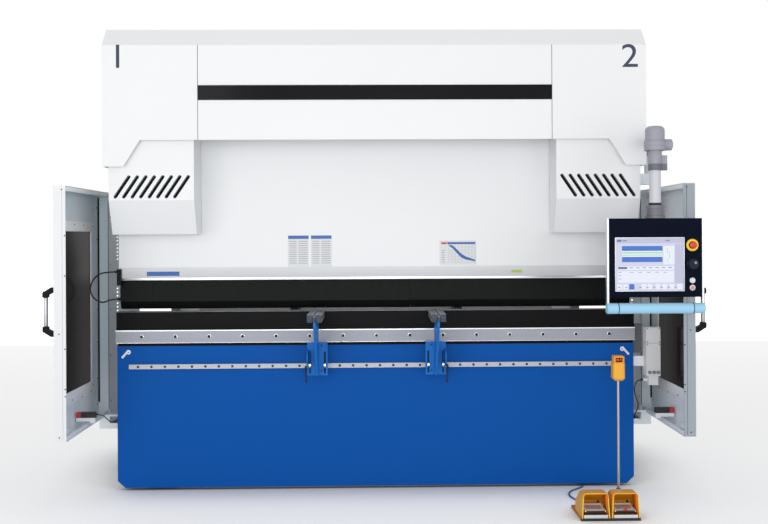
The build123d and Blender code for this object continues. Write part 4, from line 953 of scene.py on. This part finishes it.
pale = lit("screen_pale", (0.52, 0.54, 0.67), 0.16)
screen("screen_base", pale, [(0.4, 0.4, 356.6, 273.6)], -798.2, -797.0)
screen("screen_head", lit("screen_head_tone", (0.40, 0.41, 0.54)), [
    (2, 2, 355, 27), (310, 30, 355, 236),
], -798.5, -798.1)
screen("screen_blue", lit("screen_blue_tone", (0.03, 0.12, 0.46)), [
    (33, 41, 246, 66), (33, 98, 246, 125), (70, 240, 97, 268),
], -798.6, -798.1)
keys = [
    (left, 240, right, 268) for left, right in (
        (7, 34), (39, 66), (134, 160), (165, 191), (207, 233), (244, 270), (281, 307), (323, 350))
]
screen("screen_white", lit("screen_white_tone", (0.66, 0.68, 0.76), 0.18), [
    (33, 66.4, 246, 97.6), (250, 41, 309, 138), (8, 147, 306, 166), (8, 172, 306, 232), *keys,
], -798.6, -798.1)
screen("screen_green", lit("screen_green_tone", (0.14, 0.52, 0.24)), [
    (33, 74, 246, 79), (33, 87, 246, 90), (270, 50, 272, 76), (272, 74, 283, 76),
    (281, 76, 283, 104), (274, 104, 283, 106), (273, 106, 275, 128),
], -798.9, -798.5)
marks = [(8, 8, 30, 18), (36, 11, 58, 15), (262, 11, 284, 15), (12, 150, 60, 161)]
marks += [(72 + step * 34, 153, 90 + step * 34, 156) for step in range(7)]
marks += [(12, 178 + step * 17, 30, 180 + step * 17) for step in range(3)]
marks += [(74 + step * 44, 178, 94 + step * 44, 180) for step in range(5)]
marks += [(12 + step * 37, 256, 24 + step * 37, 259) for step in range(9)]
screen("screen_marks", lit("screen_mark_tone", (0.10, 0.11, 0.22), 0.2), marks, -798.9, -798.5)
panel_face = -800
rim_width = 4
screen_rim = bmesh.new()
for left, right, low, high in (
    (screen_left - rim_width, screen_left, screen_low - rim_width, screen_high + rim_width),
    (screen_right, screen_right + rim_width, screen_low - rim_width, screen_high + rim_width),
    (screen_left, screen_right, screen_high, screen_high + rim_width),
    (screen_left, screen_right, screen_low - rim_width, screen_low),
):
    block(screen_rim, (left, panel_face - 1, low), (right, panel_face + 0.2, high), 0.5)
settle("screen_rim", screen_rim, silver, "pendant")

stop_yellow = painted("stop_yellow", (0.90, 0.62, 0.012), 0.3, 0.0)
stop_red = moulded("stop_red", (0.60, 0.030, 0.012), 0.24)
key_column = 1652
stop_place = at(key_column, panel_face, 1456)
collar = bmesh.new()
turned(collar, [(20, 0), (32, 0), (32, 4), (30, 6.6), (21, 7), (19, 5), (19, 0), (20, 0)],
       stop_place, front_way, 40)
stop_collar = settle("stop_collar", collar, stop_yellow, "pendant")
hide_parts("pendant_controls")
button = bmesh.new()
turned(button, [(0, 0), (13, 0), (13, 12), (16, 13), (18.8, 16), (19, 20), (17, 23.5), (10, 25.6),
                (0, 26)], stop_place, front_way, 36)
settle("stop_head", button, stop_red, "pendant")
dial_navy = moulded("dial_navy", (0.004, 0.008, 0.020), 0.25, specular=0.15)
dial = bmesh.new()
dial_up = 1356
rib_circle = 27.6
dial_ribs = 20
turned(dial, [(0, 0), (30, 0), (31, 2), (31, 7), (28, 8), (27, 22), (24, 25.6), (0, 26)],
       at(key_column, panel_face, dial_up), front_way, 44)
for step in range(dial_ribs):
    turn = math.tau * step / dial_ribs
    place = at(key_column + rib_circle * math.cos(turn), panel_face - 8,
               dial_up + rib_circle * math.sin(turn))
    turned(dial, [(0, 0), (1.6, 0), (1.6, 12), (0.8, 14), (0, 14)], place, front_way, 8)
settle("hand_dial", dial, dial_navy, "pendant")
# A grey disc on the dial's face, up and to the side of its centre: a painted highlight.
dial_glint = bmesh.new()
turned(dial_glint, [(0, 0), (6, 0), (7, 0.4), (0, 0.5)],
       at(key_column + 10, panel_face - 26, dial_up + 8), front_way, 20)
settle("dial_highlight", dial_glint, plate_grey, "pendant")
for name, z, tone in (("start", 1271, (0.72, 0.72, 0.70)), ("halt", 1233, (0.62, 0.22, 0.20))):
    seat = at(key_column, panel_face, z)
    ring = bmesh.new()
    turned(ring, [(10, 0), (15, 0), (15, 2.6), (13.4, 4), (11, 4), (10.2, 2), (10, 0)], seat,
           front_way, 32)
    settle(f"{name}_ring", ring, silver, "pendant")
    key = bmesh.new()
    turned(key, [(0, 0), (9.8, 0), (9.8, 5), (9, 6.4), (5, 7), (0, 6.6)], seat, front_way, 28)
    settle(f"{name}_key", key, moulded(f"{name}_tone", tone, 0.3), "pendant")
light_blue = painted("light_blue_tube", (0.34, 0.63, 0.84), 0.42, 0.06, 0.0002)
coat(light_blue, "pendant_grip")
grip_back, grip_up = -794, 1126
grip_seat = 28.05
joints = bmesh.new()
for x in (1262, 1656):
    turned(joints, [(grip_seat, -2), (28.6, -2), (28.6, 2), (grip_seat, 2), (grip_seat, -2)],
           at(x, grip_back, grip_up), (1, 0, 0), 36)
settle("grip_joints", joints, seal_black, "pendant")
caps = bmesh.new()
for x, way in ((1204, -1), (1714, 1)):
    turned(caps, [(0, 0.05), (24, 0.05), (26, 1.5), (24, 3), (8, 3.5), (0, 3.5)],
           at(x, grip_back, grip_up), (way, 0, 0), 32)
settle("grip_caps", caps, light_blue, "pendant")
screws("housing_screws", black_screw, [
    (x, -695, z) for x in (1262, 1475, 1656) for z in (1250, 1400, 1560)
], 3.6, (0, 1, 0), "pendant", 0.5)

# Foot pedal: die-cast yellow hoods, their front rim painted lighter as a painted highlight and
# their warm inside darkened deeper in and lower down as painted shade, white steel treads edged
# with rubber, a black rubber base and a stop button in a cup on a plated pole.
pedal_yellow = Finish("pedal_yellow")
hood_front, hood_rear = -733, -628
# Painted highlight: the hood's front rim is a lighter yellow than the rest.
lit_rim_front = pedal_yellow.place.axis("Y") < at(0, hood_front - 1, 0).y
scuff = pedal_yellow.place.noise(9.0, 4.0)
pedal_base_tone = (scuff * scuff * 0.4).blend((0.90, 0.44, 0.022), (0.78, 0.30, 0.02))
pedal_yellow.set(
    Base_Color=lit_rim_front.blend(pedal_base_tone, (0.98, 0.62, 0.05)),
    Roughness=0.32 + scuff * 0.1,
    Normal=pedal_yellow.place.noise(500.0, 2.0).bump(0.0001),
)
coat(pedal_yellow.material, "pedal_hoods", "stop_box")
sole_depth = 0.008
sole = Finish("pedal_sole")
sole_front = sole.place.axis("Y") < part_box("pedal_base")[0][1] + sole_depth
sole_grain = sole.place.noise(900.0, 2.0)
sole.set(
    Base_Color=sole_front.blend((0.50, 0.22, 0.02), (0.012, 0.012, 0.013)),
    Roughness=0.5 + sole_grain * 0.1,
    Normal=sole_grain.bump(0.0002),
)
coat(sole.material, "pedal_base")
pole_steel = ground("pole_steel", (0.46, 0.46, 0.47), 0.30, (1, 1, 0.02), 0.15)
coat(pole_steel, "pedal_pole")
tread_white = painted("tread_white", (0.80, 0.86, 0.95), 0.4)
coat(tread_white, "tread_left", "tread_right")
pedal_middle = 1233
tread_reach = 79.5
arch_radius = 12.4
arch_steps = 6
sill_half = 64
pad_rows = 3
pad_pitch = 20
tread_slope = 0.0526
for side, name in sides:
    middle = pedal_middle + side * tread_reach
    liner = bmesh.new()
    arch = [(-66, 16), (-65.6, 60), (-61, 122)]
    for step in range(arch_steps + 1):
        turn = math.pi / 2 * step / arch_steps
        arch.append((-48 - arch_radius * math.cos(turn), 126 + arch_radius * math.sin(turn)))
    arch += [(-x, z) for x, z in reversed(arch)]
    loops = []
    for back in (hood_front, hood_rear):
        points = [liner.verts.new(at(middle + x, back, z)) for x, z in arch]
        loops.append([liner.edges.new(pair) for pair in zip(points[:-1], points[1:])])
    bmesh.ops.bridge_loops(liner, edges=loops[0] + loops[1])
    # Painted shade: the inside darkens deeper in and lower down.
    hood_inside_shade = Finish(f"hood_inside_{name}")
    deep = hood_inside_shade.place.axis("Y").ramp(at(0, hood_front, 0).y, at(0, hood_rear + 28, 0).y)
    low = hood_inside_shade.place.axis("Z").ramp(0.135, 0.03)
    hood_inside_shade.set(
        Base_Color=(deep * 0.5 + low * 0.4).blend((0.95, 0.33, 0.015), (0.55, 0.075, 0.010)),
        Roughness=0.45 + hood_inside_shade.place.noise(12.0) * 0.1,
    )
    skin = settle(f"hood_liner_{name}", liner, hood_inside_shade.material, "root")
    thicken = skin.modifiers.new("skin", "SOLIDIFY")
    thicken.thickness = 0.0006
    thicken.offset = 0.0
    sill = bmesh.new()
    sill_front = hood_front - 8
    block(sill, (middle - sill_half, sill_front, 14.5),
          (middle + sill_half, sill_front + 7, 31), 2.0)
    block(sill, (middle - sill_half, sill_front, 14.3), (middle + sill_half, -660, 17), 1.0)
    settle(f"pedal_sill_{name}", sill, plate_white, "root")
    pad = bmesh.new()
    block(pad, (middle - 50, -729, 41), (middle + 50, -724, 50.5), 1.5)
    block(pad, (middle - 20, -724, 38.5), (middle + 44, -664, 44), 1.5)
    for step in range(pad_rows):
        back = -690 + step * pad_pitch
        z = 51 + (back + 726) * tread_slope
        block(pad, (middle - 40, back, z - 1.4), (middle + 40, back + 5, z + 0.6), 0.6, 1)
    settle(f"tread_rubber_{name}", pad, rubber, f"tread_{name}")
    knob = bmesh.new()
    turned(knob, [(0, 0), (7, 0), (7.6, 3), (6, 9), (0, 11)], at(middle + 50, -559, 56), front_way)
    settle(f"hood_knob_{name}", knob, black_sheath, "root")
latch = bmesh.new()
latch_x, latch_front = 1312, -735
block(latch, (latch_x - 9, latch_front, 53), (latch_x + 9, latch_front + 6.5, 68), 2.5)
turned(latch, [(0, 0), (6, 0), (6, 3), (4.5, 4.5), (0, 4.5)], at(latch_x, latch_front, 60),
       front_way, 20)
settle("tread_latch", latch, stop_red, "tread_right")
blue_ball = moulded("blue_ball", (0.03, 0.06, 0.32), 0.2)
ball = bmesh.new()
pole_x, pole_back, pole_seat = 1334, -490, 7.6
turned(ball, [
    (pole_seat, -9), (10.5, -7), (12.4, 0), (10.5, 7), (pole_seat, 9), (pole_seat, -9),
], at(pole_x, pole_back, 104), (0, 0, 1), 28)
turned(ball, [(pole_seat, 0), (15, 0), (15, 4), (10, 8), (pole_seat, 9), (pole_seat, 0)],
       at(pole_x, pole_back, 14), (0, 0, 1), 28)
settle("pole_ball", ball, blue_ball, "root")
mouth = bmesh.new()
mouth_half = 19.5
mouth_front = pole_back - 16
block(mouth, (pole_x - mouth_half, mouth_front, 809.5),
      (pole_x + mouth_half, mouth_front + 11, 834.5), 1.0)
settle("stop_mouth", mouth, seal_black, "root")
inner = bmesh.new()
turned(inner, [(0, 0), (5, 0), (5, 5), (9, 6), (10, 9), (8, 12), (0, 13)],
       at(pole_x - 7, mouth_front + 2, 822), front_way, 24)
block(inner, (pole_x + 6, mouth_front - 8, 813), (pole_x + 15, mouth_front, 831), 2.0)
settle("stop_button", inner, stop_red, "root")
lid = bmesh.new()
lid_half = 26
block(lid, (pole_x - lid_half, pole_back - lid_half, 841),
      (pole_x + lid_half, pole_back + lid_half, 843.4), 1.2)
for x in (pole_x - lid_half - 2, pole_x + lid_half + 2):
    block(lid, (x - 1, pole_back - 29, 803), (x + 1, pole_back - 25, 842), 0.6)
settle("stop_lid", lid, pedal_yellow.material, "root")

# Frames, tie, tank and cylinders behind the covers: grey workshop enamel over plate, with
# anchor nuts on the feet, a cap on the tank, a cowl on the blue motor's end and, on the blue
# backgauge, a ground guide shaft on posts.
grey_enamel = painted("grey_enamel", (0.38, 0.41, 0.43), 0.45, 0.10)
coat(grey_enamel, "frame_left", "frame_right", "bed_beam", "top_tie", "oil_tank", "cover_rail",
     "cylinders")
coat(dark_blue, "backgauge", "pump_motor")
chrome = ground("hard_chrome", (0.80, 0.81, 0.83), 0.16, (4, 4, 0.3), 0.1)
coat(chrome, "piston_rods")
shaft_steel = ground("shaft_steel", (0.62, 0.63, 0.65), 0.35, (0.06, 9, 9), 0.15, metal=0.5)
shaft_half = 1170
shaft_radius = 18
shaft_back = 660
post_count = 7
post_pitch = 360
shaft = bmesh.new()
turned(shaft, [(0, 0), (shaft_radius - 2, 0), (shaft_radius, 2),
               (shaft_radius, 2 * shaft_half - 2), (shaft_radius - 2, 2 * shaft_half),
               (0, 2 * shaft_half)], at(-shaft_half, shaft_back, 1026), (1, 0, 0), 28)
for step in range(post_count):
    x = -1080 + step * post_pitch
    block(shaft, (x - 12, shaft_back - shaft_radius, 978),
          (x + 12, shaft_back + shaft_radius, 1012), 1.5)
settle("gauge_shaft", shaft, shaft_steel, "root")
nuts = bmesh.new()
anchor_x, foot_top = 1300, 25
for side in (-1, 1):
    for back in (200, 1300):
        turned(nuts, [(0, 26), (7, 26), (8, 24), (8, 14), (15, 14), (16, 12), (16, 3), (25, 3),
                      (26, 0)], at(side * anchor_x, back, foot_top), (0, 0, 1), 6)
settle("anchor_nuts", nuts, bright_steel, "root", 20)
tank_low, tank_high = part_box("oil_tank")
filler_x = 0.55
cap = bmesh.new()
turned(cap, [(0, 46), (30, 46), (34, 42), (34, 12), (42, 10), (42, 0), (0, 0)],
       Vector((filler_x, (tank_low[1] + tank_high[1]) / 2, tank_high[2])), (0, 0, 1), 32)
settle("tank_filler", cap, black_gloss, "root")
motor_low, motor_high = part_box("pump_motor")
motor_radius = 0.125
shroud = bmesh.new()
turned(shroud, [(20, 26), (60, 26), (108, 20), (112, 0), (20, 0), (20, 26)],
       Vector((motor_high[0], (motor_low[1] + motor_high[1]) / 2, motor_high[2] - motor_radius)),
       (1, 0, 0), 40)
settle("motor_shroud", shroud, dark_blue, "root")

# Floor and light: a pale studio floor that keeps the machine's soft shadow from the lamps, with
# painted shade from an occlusion node darkening it near and under the machine, and turns white
# at its far end; one wide soft lamp at the front left, a cooler one at the right, one behind the
# camera that reaches into the guards, and a weak one above.
floor_half = 30
glow_start = -1.6
wall_start, wall_end = 7.4, 7.7
shade_reach = 0.45
shade = Finish("studio_floor")
camera_ray = shade.place.make("ShaderNodeLightPath", out="Is Camera Ray")
depth = shade.place.axis("Y")
near_glow = depth.ramp(glow_start, 7.5).blend((0.28, 0.28, 0.282), (0.44, 0.44, 0.44))
wall_glow = depth.ramp(wall_start, wall_end).blend(near_glow, (1.0, 1.0, 1.0))
# Painted shade: ambient occlusion darkens the floor's colour and glow near and under the machine.
hidden = shade.place.make(
    "ShaderNodeAmbientOcclusion", {"samples": 8}, {"Distance": shade_reach}, 1
)
painted_contact_shade = hidden.ramp(0.15, 0.95)
shade.set(
    Base_Color=painted_contact_shade.blend((0.30, 0.30, 0.31), (0.88, 0.88, 0.88)),
    Roughness=0.9,
    Specular_IOR_Level=0.0,
    Emission_Color=(camera_ray * painted_contact_shade).blend((0.0, 0.0, 0.0), wall_glow),
    Emission_Strength=1.0,
)
surface = bpy.data.meshes.new("floor")
plane = bmesh.new()
bmesh.ops.create_grid(plane, x_segments=1, y_segments=1, size=floor_half)
plane.to_mesh(surface)
plane.free()
surface.materials.append(shade.material)
floor = bpy.data.objects.new("floor", surface)
bpy.context.scene.collection.objects.link(floor)

world = bpy.data.worlds.new("studio")
bpy.context.scene.world = world
world.use_nodes = True
sky = world.node_tree.nodes["Background"]
rays = world.node_tree.nodes.new("ShaderNodeLightPath").outputs
seen = Wire(rays["Is Camera Ray"]) + Wire(rays["Is Glossy Ray"])
direct = seen.make("ShaderNodeClamp", None, {0: seen + Wire(rays["Is Transmission Ray"])})
soft_light = 0.55
sky.inputs["Color"].default_value = (1.0, 1.0, 1.0, 1.0)
seen.feed(sky.inputs["Strength"], soft_light + direct * (1 - soft_light))

lamps = (
    ("key", (-3.9, -7.6, 1.9), (0.3, -0.4, 1.2), 4.5, 130.0, (1.0, 1.0, 1.0)),
    ("fill", (4.4, -7.0, 1.5), (0.0, -0.4, 1.1), 4.0, 75.0, (0.95, 0.975, 1.0)),
    ("front", (0.0, -9.5, 1.7), (0.0, -0.5, 1.3), 2.5, 120.0, (0.98, 0.99, 1.0)),
    ("top", (0.0, -1.5, 6.5), (0.0, 0.0, 1.0), 5.0, 25.0, (0.95, 0.97, 1.0)),
)
for name, place, aim, size, power, tone in lamps:
    lamp = bpy.data.lights.new(name, "AREA")
    lamp.size = size
    lamp.energy = power
    lamp.color = tone
    holder = bpy.data.objects.new(name, lamp)
    bpy.context.scene.collection.objects.link(holder)
    holder.location = place
    holder.rotation_euler = (Vector(aim) - Vector(place)).to_track_quat("-Z", "Y").to_euler()
